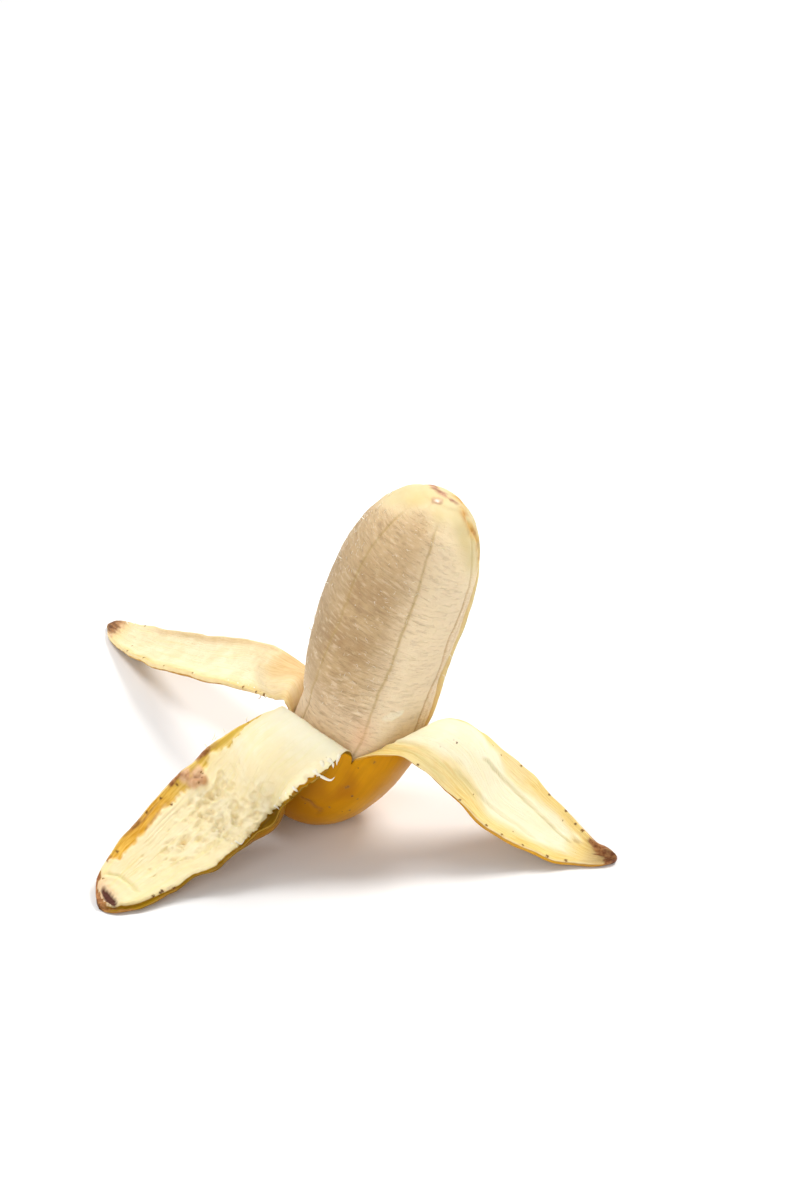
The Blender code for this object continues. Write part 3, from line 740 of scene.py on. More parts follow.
def pitField(x, y, wide, long):
    # hollows with a steep upper wall and a proud lower lip: the listed ones and many small ones at random,
    # and painted shade along each upper wall
    rng = np.random.default_rng(7)
    many = [(a * wide, b * long, size, deep) for a, b, size, deep in marks["pits"]]
    for _ in range(marks["smallPits"]):
        a, b = rng.uniform(-0.5, 0.75), rng.normal(0.58, 0.12)
        many.append((a * wide, b * long, rng.uniform(0.35, 0.85), rng.uniform(0.10, 0.30)))
    height, shade = np.zeros_like(x), np.zeros_like(x)
    for a, b, size, deep in many:
        near = (np.abs(x - a) < 3.2 * size) & (np.abs(y - b) < 4 * size)
        turn = rng.uniform(-0.6, 0.6)
        dx, dy = x[near] - a, y[near] - b
        across = (dx * np.cos(turn) + dy * np.sin(turn)) / size
        down = (dy * np.cos(turn) - dx * np.sin(turn)) / size
        off = np.hypot(across, down * 0.85)
        lip = 0.9 * bump(off - 1.45, 0.3) * ease(0.5 + down / 2)
        height[near] += deep * (lip - 1.8 * ease((1.35 - off) / 0.7))
        rim = bump(off - 0.9, 0.4) * ease(0.6 - down) * min(1.0, 0.3 + 2 * deep)
        shade[near] = np.maximum(shade[near], rim)
    return height, shade


def frontLeftPith(u, v, x, y, flat, wide, long):
    # the bare yellow band along the far edge
    edge = u - crossAt(marks["pithEdge"], v) + 0.06 * cloud(flat, 2.4, 23) + 0.04 * cloud(flat, 0.8, 24)
    bare = 1 - ease(edge / 0.11 + 0.5)
    height = 0.12 * bump(edge - 0.07, 0.05) - marks["pithStep"] * bare
    # pits, rough patches and combed fibres on the lower half, with painted shade in the pits and where the
    # patches and fibres sink
    low = between(v, 0.3, 0.15, 0.9, 0.08) * (1 - bare)
    pits, hollow = (grid * low for grid in pitField(x, y, wide, long))
    rough = 0.22 * cloud(flat, 3.0, 25) + 0.16 * cloud(flat, 1.4, 26)
    rough = rough * (0.45 + 0.55 * ease((u + 0.35) / 0.3)) * low
    comb = np.sin(2 * pi * (x + 0.7 * cloud(flat, 7.0, 27)) / 1.05)
    comb = comb * (0.5 + 0.5 * cloud(flat / fibreRun, 0.9, 28)) * (0.3 + 0.7 * ease((0.1 - u) / 0.25))
    comb = comb * 0.20 * between(v, 0.5, 0.12, 0.92, 0.05) * (1 - bare)
    height = height + pits + rough + comb
    hollow = np.clip(np.maximum(hollow, -(0.5 * rough + comb) / 0.35), 0, 1)
    # the near edge, torn off down to the skin with teeth and a fuzzy border
    teeth = flat * np.array([0.25, 1.0, 1.0])
    teeth = 0.55 * cloud(teeth, 1.5, 46) + 0.45 * cloud(teeth, 0.75, 47)
    teeth = teeth * (1 - 0.8 * ease((v - 0.62) / 0.1))
    off = x - crossAt(marks["nearEdge"], v) * wide + teeth
    over = ease(off / 0.45 + 0.5)
    fuzz = 0.22 * cloud(flat, 0.8, 48) * between(v, 0.1, 0.1, 0.65, 0.1)
    height = height + (0.25 + fuzz) * bump(off + 0.9, 0.9) - marks["nearStep"] * over
    # the pink lump, the crease above the tip and the dark oval on it
    lump = np.minimum.reduce([np.hypot(x - a * wide, y - b * long) for a, b in marks["lump"]])
    lump = lump + 0.5 * cloud(flat, 1.6, 19)
    pink = ease(1.8 - lump / 1.25)
    height = height + 1.9 * bump(lump, 1.35) + 0.5 * pink * cloud(flat, 0.9, 29)
    crease = (v - smoothThrough(*zip(*marks["crease"]), u)) * long + 0.25 * cloud(flat, 2.0, 18)
    within = between(u, -0.85, 0.2, 0.55, 0.15)
    height = height + (0.4 * bump(crease - 1.3, 0.8) - 0.55 * bump(crease, 0.45)) * within
    green = 0.8 * bump(crease, 0.5) * within
    (a, b), (broad, high) = marks["oval"], marks["ovalSize"]
    ovalX, ovalY = (u - a) * wide / broad, (v - b) * long / high
    oval = np.hypot(ovalX, ovalY) + 0.2 * cloud(flat, 1.2, 17)
    dark = ease((1.3 - oval) * 2.2)
    height = height + 0.35 * bump(oval - 1.6, 0.4) - 0.7 * dark
    pink = np.maximum(pink, 0.75 * bump(np.hypot(ovalX + 0.6, ovalY + 1.3), 1.2))
    # the skin shows round the tip, brown and pink in its corner
    over = np.maximum(over, ease((v - 0.982 + 0.005 * cloud(flat, 1.5, 15)) / 0.008))
    over = np.maximum(over, ease((-u - 0.84 + 0.08 * cloud(flat, 1.5, 15)) / 0.08) * ease((v - 0.925) / 0.02))
    corner = ease((v - 0.95) / 0.03 - 0.9 * (u + 0.1))
    pink = np.maximum(pink, 0.8 * corner)
    green = np.maximum(green, over * ease((v - 0.25) / 0.12))
    yellow = 0.45 * ease((v - 0.84) / 0.1) * ease((np.abs(u) - 0.3) / 0.5)
    yellow = np.maximum.reduce([yellow, 0.35 * ease((-u - 0.6) / 0.3), 0.22 * ease((v - 0.5) / 0.2)])
    # brown along both edges and in streaks on the bare band
    streak = ease(2.2 * cloud(flat / np.array([1, 6, 1]), 0.8, 30) + 0.1)
    nearRim = bump(u - 0.97, 0.05) * between(v, 0.80, 0.06, 0.95, 0.03)
    farRim = ease((-u - 0.93 + 0.05 * cloud(flat, 1.2, 30)) / 0.05) * between(v, 0.42, 0.06, 0.93, 0.04)
    brown = np.maximum.reduce([
        0.8 * over * ease((v - 0.9) / 0.06) * ease(0.4 + 1.3 * cloud(flat, 1.6, 16)),
        over * corner,
        0.55 * bare * between(v, 0.6, 0.12, 0.9, 0.06) * streak,
        0.8 * nearRim * ease(0.4 + 2 * cloud(flat, 1.6, 31)),
        0.95 * farRim * ease(0.15 + 2.4 * cloud(flat * np.array([0.3, 1, 1]), 2.2, 37))])
    # the whiter pith by the fold is partly its own colour and partly painted light on the fold
    return height, {"yellow": yellow, "brown": brown, "dark": dark, "pink": pink, "green": green,
                    "bare": bare, "hollow": hollow, "skinSide": over, "shade": 0.6 * over,
                    "white": ease((0.25 - v) / 0.13) * (1 - bare)}


def rightPith(u, v, x, y, flat, wide, long):
    height, green = np.zeros_like(u), np.zeros_like(u)
    for proud, share, seed, line in marks["ridges"]:
        off, reach = lineOff(u, v, line, wide)
        off = off + 0.3 * cloud(flat, 3.0, seed)
        height = height + proud * (bump(off - 0.8, 0.7) - bump(off, 0.5)) * reach
        green = np.maximum(green, share * bump(off, 0.45) * reach)
    a, b = marks["blob"]
    blob = np.hypot(x - a * wide, y - b * long)
    yellow = np.maximum.reduce([
        ease((-u - 0.45 + 0.12 * cloud(flat, 7.0, 34)) / 0.4),
        0.9 * ease((u - 0.45 + 0.15 * cloud(flat, 6.0, 35)) / 0.4),
        ease((v - 0.84 + 0.02 * cloud(flat, 5.0, 32)) / 0.08) * (1 - bump(blob, 1.5)),
        0.9 * ease((0.2 - v) / 0.1) * ease((0.2 - u) / 0.5)])
    brown = ease((v - 0.945 + 0.035 * u + 0.02 * cloud(flat, 2.0, 36)) / 0.014)
    knob = np.hypot(u * 2.4 - 0.9, y - 0.98 * long)
    height = height + 0.9 * bump(blob, 1.3) + 2.0 * bump(knob, 1.8) + 0.35 * brown * cloud(flat, 1.6, 38)
    return height, {"yellow": yellow, "brown": brown, "dark": 0.3 * brown * bump(knob, 1.5), "green": green,
                    "white": 0.6 * (1 - ease(yellow / 0.4)), "tan": 0.8 * ease((v - 0.89) / 0.06)}


def leftPith(u, v, x, y, flat, wide, long):
    yellow = 0.8 * ease((u - 0.6 + 0.1 * cloud(flat, 7.0, 41)) / 0.4)
    yellow = np.maximum(yellow, 0.6 * ease((v - 0.9) / 0.06))
    upper = ease((0.4 - u) / 0.6)
    # the tan at the root beside the flesh is partly the pith's own tan and partly painted shade from the
    # flesh; a tan line runs along the upper edge
    tan = np.maximum.reduce([
        0.95 * ease((0.25 - v) / 0.12) * (0.5 + 0.5 * upper),
        0.35 * ease((0.40 - v) / 0.2) * upper + 0.06,
        0.7 * bump(u + 0.9, 0.14) * ease((0.85 - v) / 0.1)])
    end = ease((v - 0.925 + 0.02 * cloud(flat, 2.5, 44)) / 0.04)
    knob = np.hypot(u * 2.8 + 0.9, y - 0.98 * long)
    brown = ease(1.9 - knob / 1.8 + 0.3 * cloud(flat, 1.8, 39)) * end
    height = 1.3 * bump(knob, 1.8) + 0.25 * end * cloud(flat, 1.6, 42)
    height = height + 0.04 * np.sin(x * 1.9 + cloud(flat, 9.0, 43)) * ease((v - 0.3) / 0.2)
    return height, {"yellow": yellow + 0.06, "tan": tan, "pink": np.maximum(0.8 * end, 0.13), "brown": brown,
                    "dark": 0.45 * brown * ease(0.6 + cloud(flat, 1.2, 45))}


def inwardRelief(name, u, v, wide, long):
    # how proud the pith stands, and its marks. u and v are grids, wide is half the width and long the length
    x, y = u * wide, v * long
    flat = np.stack([x, y, 0 * x], -1)
    height = 0.14 * cloud(flat, 5.5, 21) + 0.05 * cloud(flat, 1.2, 22)
    height = height + 0.05 * cloud(flat / fibreRun, 0.9, 20)
    found = {mark: np.zeros_like(x) for mark in ("brown", "dark", "pink", "bare", "green", "tan", "hollow",
                                                 "skinSide", "white", "shade")}
    found["yellow"] = ease((np.abs(u) - 0.72) / 0.3) * 0.8
    own = {"front_left": frontLeftPith, "right": rightPith, "left": leftPith}.get(name)
    if own:
        proud, more = own(u, v, x, y, flat, wide, long)
        height = height + proud
        found.update(more)
    return height, found


def outwardMarks(name, angle, u, v, flat):
    # colour marks of the skin side: dark tips, brown streaks along the fruit and greener shoulders
    tip = {"front_left": 0.965, "right": 0.94, "left": 0.955, "back": 0.97}[name]
    dark = ease((v - tip + 0.012 * cloud(flat, 3.0, 51)) / 0.03) * 0.6
    streak = cloud(flat / streakRun, 1.0, 52)
    brown = ease((streak - 0.45) / 0.2) * ease((v - 0.3) / 0.2) * 0.7
    green = ease((v - 0.12) / 0.5) * (0.55 + 0.4 * ridgeWave(angle))
    found = {"dark": dark, "brown": np.maximum(brown, 0.8 * dark), "green": np.clip(green, 0, 1),
             "skinSide": np.ones_like(u)}
    if name == "front_left":  # its underside darkens towards the near edge
        found["shade"] = 0.75 * ease((u - 0.6) / 0.3) * ease((v - 0.18) / 0.1)
    if name == "back":  # its first edge is frayed down to the pith
        found["skinSide"] = 1 - 0.75 * ease((-u - 0.84 + 0.07 * cloud(flat, 4.0, 64)) / 0.16)
    return found


def wallBulge(t, flat):
    # torn edges stand out a little between the pith and the skin
    return (0.35 + 0.22 * cloud(flat, 1.7, 61)) * np.sin(pi * t)


def raggedLip(v, y):
    # how far the pith of the front left strip's near edge stands out: a constant, and two sizes of teeth
    line = np.stack([y, 0 * y, 0 * y], -1)
    teeth = 0.9 * np.maximum(cloud(line, 1.5, 62), 0) + 0.7 * np.maximum(cloud(line, 0.7, 63), 0) - 0.35
    return teeth * ease((v - 0.15) / 0.1) * (1 - ease((v - 0.33) / 0.05))


def gridPlace(grid, u, v, a, b):
    # the place on a strip's grid at a across and b down, between its four nearest corners
    across, down = np.interp(a, u, np.arange(len(u))), np.interp(b, v, np.arange(len(v)))
    i, j = min(int(down), len(v) - 2), min(int(across), len(u) - 2)
    s, t = down - i, across - j
    upper = grid[i, j] * (1 - t) + grid[i, j + 1] * t
    return upper * (1 - s) + (grid[i + 1, j] * (1 - t) + grid[i + 1, j + 1] * t) * s


def inMetres(place):
    return tuple(float(part) for part in (place - np.array(fruit["centre"])) * mm)


def onTable(places, least=0.02):
    # no place lies lower than this
    places[..., 2] = np.maximum(places[..., 2], least)
    return places


def edgeThinned(u):
    # a strip's thickness across, which falls with the fourth power towards both edges
    return peel["thick"] + (peel["edgeThick"] - peel["thick"]) * np.abs(u[None]) ** 4


def foldedStrip(name):
    # a parabola across three rails at every place down the strip, and the skin side at the thickness from it
    first, last = peel["span"][name]
    across = peel["across"][name]
    rails = [[ringInner(angle) for angle in (first, 0.5 * (first + last), last)]]
    rails += [[around(*spot) for spot in row] for row in peel["roots"][name]]
    for edge, middle, other in peel["rails"][name]:
        edge, other = np.array(edge, float), np.array(other, float)
        if np.ndim(middle) == 0:  # a sag below the middle of the two edges
            width = unitOf(other - edge)
            middle = 0.5 * (edge + other) - middle * unitOf(np.array([0, 0, 1.0]) - width * width[2])
        rails.append([edge, middle, other])
    rails = np.array(rails, float)
    knots = np.concatenate([[0.0], np.cumsum(np.linalg.norm(np.diff(rails[:, 1], axis=0), axis=1))])
    v = smoothThrough(peel["rowShare"], peel["rowAlong"], np.linspace(0, 1, peel["rows"][name] + 1))
    left, mid, right = (smoothThrough(knots / knots[-1], rails[:, k], v) for k in range(3))
    width = unitOf(right - left)
    calm = between(v, 0.1, 0.2, 1, 0.12)[:, None]
    left = left - width * peel["waver"][name][0] * waver(v)[:, None] * calm
    right = right + width * peel["waver"][name][1] * waver(v + 0.37)[:, None] * calm
    u = np.linspace(-1, 1, across + 1)
    u = 0.85 * u + 0.15 * np.sin(0.5 * pi * u)
    inner = (mid[:, None] + 0.5 * (right - left)[:, None] * u[None, :, None]
             + (0.5 * (left + right) - mid)[:, None] * (u**2)[None, :, None])
    if name == "front_left":  # its near edge hangs down, most at three quarters of the way to it
        hang = np.clip(u, 0, 1) ** 3 * (1 - u) * 9.48
        depth = smoothThrough(peel["wallAlong"], peel["wallDepth"], v)[:, None] * hang[None]
        inner = inner + gridNormals(inner) * depth[..., None]
    angle = first + (last - first) * 0.5 * (u + 1)
    hold = (1 - ease(v / 0.16))[:, None, None]
    inner = inner + (ringInner(angle) - inner[0])[None] * hold
    pressed = smoothThrough(peel["thinAlong"], peel["thinShare"], v)
    if name == "left":
        pressed = pressed * (peel["narrowThin"] + (1 - peel["narrowThin"]) * ease((v - 0.12) / 0.2))
    thick = edgeThinned(u) * pressed[:, None]
    facing = gridNormals(inner)
    ring = tearAlong(angle)
    sideways = unitOf(around(angle + 1, ring, fruit["girth"]) - around(angle - 1, ring, fruit["girth"]))
    lean = (facing * sideways[None]).sum(-1) * (1 - ease((v[:, None] - 0.08) / 0.2))
    facing = unitOf(facing - sideways[None] * lean[..., None])
    start = ringOuter(angle) - ringInner(angle)
    grown = ease(v / 0.13)[:, None]
    thick = np.linalg.norm(start, axis=-1)[None] * (1 - grown) + thick * grown
    turned = ease(v / 0.1)[:, None, None]
    facing = unitOf(unitOf(start)[None] * (1 - turned) + facing * turned)
    outer = inner + facing * thick[..., None]
    start, drawn, reach = peel["tip"][name]
    tip = np.clip((v - start) / (1 - start), 0, 1)[:, None, None]
    onward = unitOf(inner[-1, across // 2] - inner[-8, across // 2])
    shift = onward * reach * tip**2 * (1 - u[None, :, None] ** 2)
    narrower = np.sqrt(1 - drawn * tip**2)
    inner, outer = (grid[:, [across // 2]] + (grid - grid[:, [across // 2]]) * narrower + shift
                    for grid in (inner, outer))
    return SimpleNamespace(name=name, inner=inner, outer=onTable(outer), angle=angle, u=u, v=v, facing=facing,
                           long=knots[-1], width=width)


def standingStrip(name):
    # follows the flesh at the gap's distance, with its own width at every height
    first, last = peel["span"][name]
    v = np.linspace(0, 1, peel["rows"][name] + 1)
    u = np.linspace(-1, 1, peel["across"][name] + 1)
    low, high = (smoothThrough(peel["backAlong"], peel[side], v)[:, None]
                 for side in ("backFirst", "backLast"))
    s = 0.5 * (u[None] + 1)
    angle = low + (high - low) * s
    along = tearAlong(first + (last - first) * s) * (1 - v[:, None]) + peel["backTop"] * v[:, None]
    inner = around(angle, along, pulpRadius(along) + fruit["gap"])
    thick = edgeThinned(u) * (1 - 0.3 * ease((v[:, None] - 0.8) / 0.2))
    facing = gridNormals(inner)
    offset = facing * (thick + 0.25 * ridgeWave(angle))[..., None]
    hold = (1 - ease(v / 0.16))[:, None, None]
    offset = offset * (1 - hold) + (ringOuter(angle[0]) - ringInner(angle[0]))[None] * hold
    return SimpleNamespace(name=name, inner=inner, outer=inner + offset, angle=angle[0], u=u, v=v,
                           facing=facing, long=peel["backLong"], width=unitOf(inner[:, -1] - inner[:, 0]))


def pithFlecks(strip, rng):
    # dark flecks as (place, radius), the large ones as a few smaller ones strung out down the strip
    result = []
    for a, b, size in marks["flecks"][strip.name]:
        large = size > marks["largeFleck"]
        for _ in range(rng.integers(2, 5) if large else 1):
            far, part = (rng.normal(0, 0.9), rng.uniform(0.35, 0.8)) if large else (0.0, 1.0)
            a2, b2 = a + rng.normal(0, 0.015) * large, b + far * size / strip.long
            result.append((inMetres(gridPlace(strip.inside, strip.u, strip.v, a2, b2)), size * part * mm))
    return result


def dressStrip(strip, rng):
    # gives both sides of a strip their relief and marks, and returns its flecks
    name, u, v = strip.name, strip.u, strip.v
    middle = strip.inner[len(v) // 2]
    wide = 0.5 * np.linalg.norm(middle[-1] - middle[0])
    across, down = np.meshgrid(u, v)
    strip.x, strip.y = across * wide, down * strip.long
    height, inward = inwardRelief(name, across, down, wide, strip.long)
    calm = 0.25 + 0.75 * ease((1 - np.abs(across)) / (0.05 if name == "front_left" else 0.12))
    if name == "front_left":  # its near edge is bare skin, which runs on to the edge
        calm = np.where(across > 0, 1.0, calm)
    if name == "back":
        height = height * 0.1
    least = peel["leastThick"] - np.linalg.norm(strip.outer - strip.inner, axis=-1)
    height = np.maximum(height * calm * ease((down - 0.015) / 0.08), least)
    strip.inside = onTable(strip.inner - strip.facing * height[..., None], 0.5)
    if name == "front_left":
        lip = raggedLip(v, strip.y[:, 0])[:, None] * ease((across - 0.86) / 0.14) ** 2
        strip.inside = strip.inside + strip.width[:, None] * lip[..., None]
    turn = np.broadcast_to(strip.angle[None], across.shape)
    flat = np.stack([turn * grain, strip.y, 0 * strip.x], -1)
    ripple = 0.10 * cloud(flat, 6.0, 71) + 0.05 * cloud(flat, 2.0, 72)
    strip.outside = onTable(strip.outer + strip.facing * (ripple * ease((down - 0.02) / 0.1))[..., None])
    grainY = tearAlong(turn) + strip.y
    strip.inward = {**inward, "grainX": strip.x, "grainY": grainY, "down": down}
    strip.outward = {**outwardMarks(name, turn, across, down, flat), "grainX": turn * grain, "grainY": grainY,
                     "down": down}
    if name == "back":
        return [(inMetres(gridPlace(strip.outside, u, v, a, b)), size * mm)
                for a, b, size in marks["flecks"][name]]
    return pithFlecks(strip, rng)


def addWall(surface, strip, number, side, start, inner, outer):
    # the torn edge between the pith and the skin
    edge = 0 if side < 0 else -1
    near = strip.name == "front_left" and side > 0
    t, v, y = wallShares[None], strip.v[:, None], strip.y[:, :1]
    place = strip.inside[:, [edge]] * (1 - t[..., None]) + strip.outside[:, [edge]] * t[..., None]
    flat = np.stack(np.broadcast_arrays(2.0 * t, y, 7.0 * side + 20 * number), -1)
    push = wallBulge(t, flat) * ease((v - 0.02) / 0.08)
    if near:  # under the ragged lip the skin stands back
        push = push - 0.9 * np.sin(pi * t**0.6) * np.maximum(raggedLip(v, y), 0)
    place = onTable(place + strip.width[:, None] * (side * push)[..., None])
    rise = 0.6 if strip.name == "back" else 4.0 if near else 2.2
    skinned = np.clip(t * rise - 0.9 * (strip.name == "left"), 0, 1)
    tint = {mark: strip.inward[mark][1:, [edge]]
            for mark in ("brown", "dark", "tan", "grainX", "grainY", "down")}
    torn, green, shade = (1.0, 1.0, 0.9) if near else (0.8, 0.2, 0.0)
    middle = surface.add(place[1:], skinSide=skinned, yellow=0.3 + 0.6 * t, torn=1.0 - torn * skinned,
                         green=green * skinned, shade=shade * skinned, **tint)
    wall = np.hstack([inner[:, [edge]], np.vstack([start[None], middle]), outer[:, [edge]]])
    surface.sheet(wall, side > 0)
    return wall[-1, 1:-1, None]


def addTip(surface, strip, edges, inner, outer):
    # the torn end, between the last rows of both sides
    t = wallShares[:, None, None]
    onward = unitOf(strip.inner[-1] - strip.inner[-3])[1:-1]
    place = (strip.inside[-1, 1:-1] * (1 - t) + strip.outside[-1, 1:-1] * t
             + onward * (peel["tipBulge"] * np.sin(pi * t)))
    tint = {mark: np.maximum(strip.inward[mark][-1, 1:-1], strip.outward[mark][-1, 1:-1])
            for mark in ("brown", "dark", "green")}
    run = {mark: strip.inward[mark][-1, 1:-1] for mark in ("grainX", "grainY", "down")}
    middle = surface.add(onTable(place), skinSide=np.clip(2.5 * t[..., 0], 0, 1), **tint, **run)
    surface.sheet(np.vstack([inner[-1], np.hstack([edges[0], middle, edges[1]]), outer[-1]]), True)


def addStrip(surface, strip, number, rings, starts):
    sides = []
    for ring, places, found in zip(rings, (strip.inside, strip.outside), (strip.inward, strip.outward)):
        found = {mark: grid[1:] for mark, grid in found.items()}
        sides.append(np.vstack([ring, surface.add(places[1:], **found)]))
    inner, outer = sides
    surface.sheet(inner, True)
    surface.sheet(outer)
    edges = [addWall(surface, strip, number, side, start, inner, outer)
             for side, start in zip((-1, 1), starts)]
    addTip(surface, strip, edges, inner, outer)


def addCavity(surface, ring, angles):
    # the hollow of the cup, which the flesh sits in
    tears, bottom = tearAlong(angles)[None], fruit["pulpBottom"]
    depth = np.linspace(0, 1, peel["cavityRows"] + 2)[1:-1, None]
    along = tears + (bottom - tears) * depth
    turn = np.broadcast_to(angles, along.shape)
    radius = pulpRadius(along) + fruit["gap"] + 0.45 * ease(depth * 2)
    cavity = surface.add(around(turn, along, radius), grainX=turn * grain, grainY=along, yellow=0.3)
    surface.wrap(np.vstack([ring, cavity]))
    surface.fan(cavity[-1], surface.add(axisAt([bottom - 0.75])[0], yellow=0.3)[0])


def addCup(surface, ring, angles):
    # the outside of the cup and the stem, dented below each tear, down to the stem's cut end
    tears, end = tearAlong(angles)[None], fruit["skinAlong"][0]
    depth = np.linspace(0, 1, peel["cupRows"] + 1)[1:, None]
    along = tears + (end - tears) * depth
    turn = np.broadcast_to(angles, along.shape)
    inner = pulpRadius(np.maximum(along, -30.0)) + fruit["gap"]
    radius = skinRadius(turn, along)
    dented = fruit["tearThin"] * sum(bump(turn - tear, fruit["tearWidth"]) for tear in fruit["tears"])
    dented = dented * (1 - ease((tears - along) / 7))
    radius = radius * (1 - dented) + np.minimum(inner, radius) * dented
    flat = np.stack([turn * grain, along, 0 * turn], -1)
    place = around(turn, along, radius)
    knots = marks["wrinkle"]
    wrinkle = bump(along - smoothThrough(*zip(*knots), turn), 0.32)
    wrinkle = wrinkle * between(turn, knots[0][0] - 2.5, 5, knots[-1][0] + 2.5, 5)
    a, b = marks["stain"]
    stain = np.hypot(grain * (turn - a), 0.6 * (along - b)) / 3.0
    stain = ease(1.2 - stain + 0.4 * cloud(place, 2.5, 84))
    neck = ease((-44 - along) / 6)
    height = 0.16 * cloud(place, 9.0, 81) + 0.07 * cloud(place, 2.6, 82) - 0.5 * wrinkle
    height = height + neck * (0.3 * np.cos(np.radians(turn * 7)) + 0.15 * cloud(flat, 1.2, 83))
    streak = 0.7 * neck * ease((cloud(flat / streakRun, 1.0, 52) - 0.1) / 0.4)
    cut = ease((end + 1.6 - along) / 1.2)
    outward = unitOf(place - axisAt(along)[0])
    place = onTable(place + outward * (height * ease(depth / 0.12))[..., None], 0.0)
    # the cup is painted darker low on its front left, painted shade, and paler on its right side, a painted
    # reflection
    skin = surface.add(place, grainX=turn * grain, grainY=along, skinSide=1.0, stain=stain,
                       brown=np.maximum.reduce([0.3 * wrinkle, streak, 0.6 * cut]),
                       dark=np.maximum(0.7 * cut, 0.3 * wrinkle), green=0.75 * ease((-30 - along) / 12),
                       pale=bump(turn - 75, 28), under=ease((-11 - along) / 12) * bump(turn + 30, 70))
    radius, inset = np.array(peel["stemEnd"]).T[..., None]
    turn = np.broadcast_to(angles, (len(radius), len(angles)))
    cutEnd = surface.add(around(turn, end + inset, radius + 0.3 * np.cos(np.radians(turn * 6))),
                         grainX=turn * grain, grainY=end, skinSide=1.0, brown=1.0, dark=0.75)
    middle = surface.add(axisAt([end + 0.9])[0], skinSide=1.0, brown=1.0, dark=0.6)[0]
    surface.wrap(np.vstack([ring, skin, cutEnd]), True)
    surface.fan(cutEnd[-1], middle, True)


def cupFlecks():
    # flecks on the cup, and a row of small ones that draws the dark part of the wrinkle
    result = [(a, b, size * 1.25) for a, b, size in marks["cupFlecks"]]
    for k, a in enumerate(np.linspace(-3.5, 13, 15)):
        b = smoothThrough(*zip(*marks["wrinkle"]), a)
        result.append((a, b, 0.34 if k < 2 else 0.16 + 0.02 * (k % 3)))
    return [(inMetres(around(a, b, skinRadius(a, b))), size * mm) for a, b, size in result]


def makePeel():
    # the closed skin, with the places of its dark flecks as (place, radius) in metres
    surface, rng = Surface(), np.random.default_rng(4)
    strips = [standingStrip(name) if name == "back" else foldedStrip(name) for name in peel["order"]]
    angles = np.concatenate([strip.angle[:-1] for strip in strips])
    rings = [surface.add(ring(angles), grainX=angles * grain, grainY=tearAlong(angles), skinSide=side)
             for ring, side in ((ringInner, 0.0), (ringOuter, 1.0))]
    starts, t = [], wallShares[:, None]
    for strip in strips:
        first = strip.angle[:1]
        starts.append(surface.add(ringInner(first) * (1 - t) + ringOuter(first) * t, grainX=first * grain,
                                  grainY=tearAlong(first), skinSide=wallShares * 0.5))
    column, flecks = 0, []
    for number, strip in enumerate(strips):
        flecks += dressStrip(strip, rng)
        columns = (column + np.arange(len(strip.u))) % len(angles)
        column += len(strip.u) - 1
        ends = starts[number], starts[(number + 1) % len(strips)]
        addStrip(surface, strip, number, [ring[columns] for ring in rings], ends)
    addCavity(surface, rings[0], angles)
    addCup(surface, rings[1], angles)
    return surface, flecks + cupFlecks()


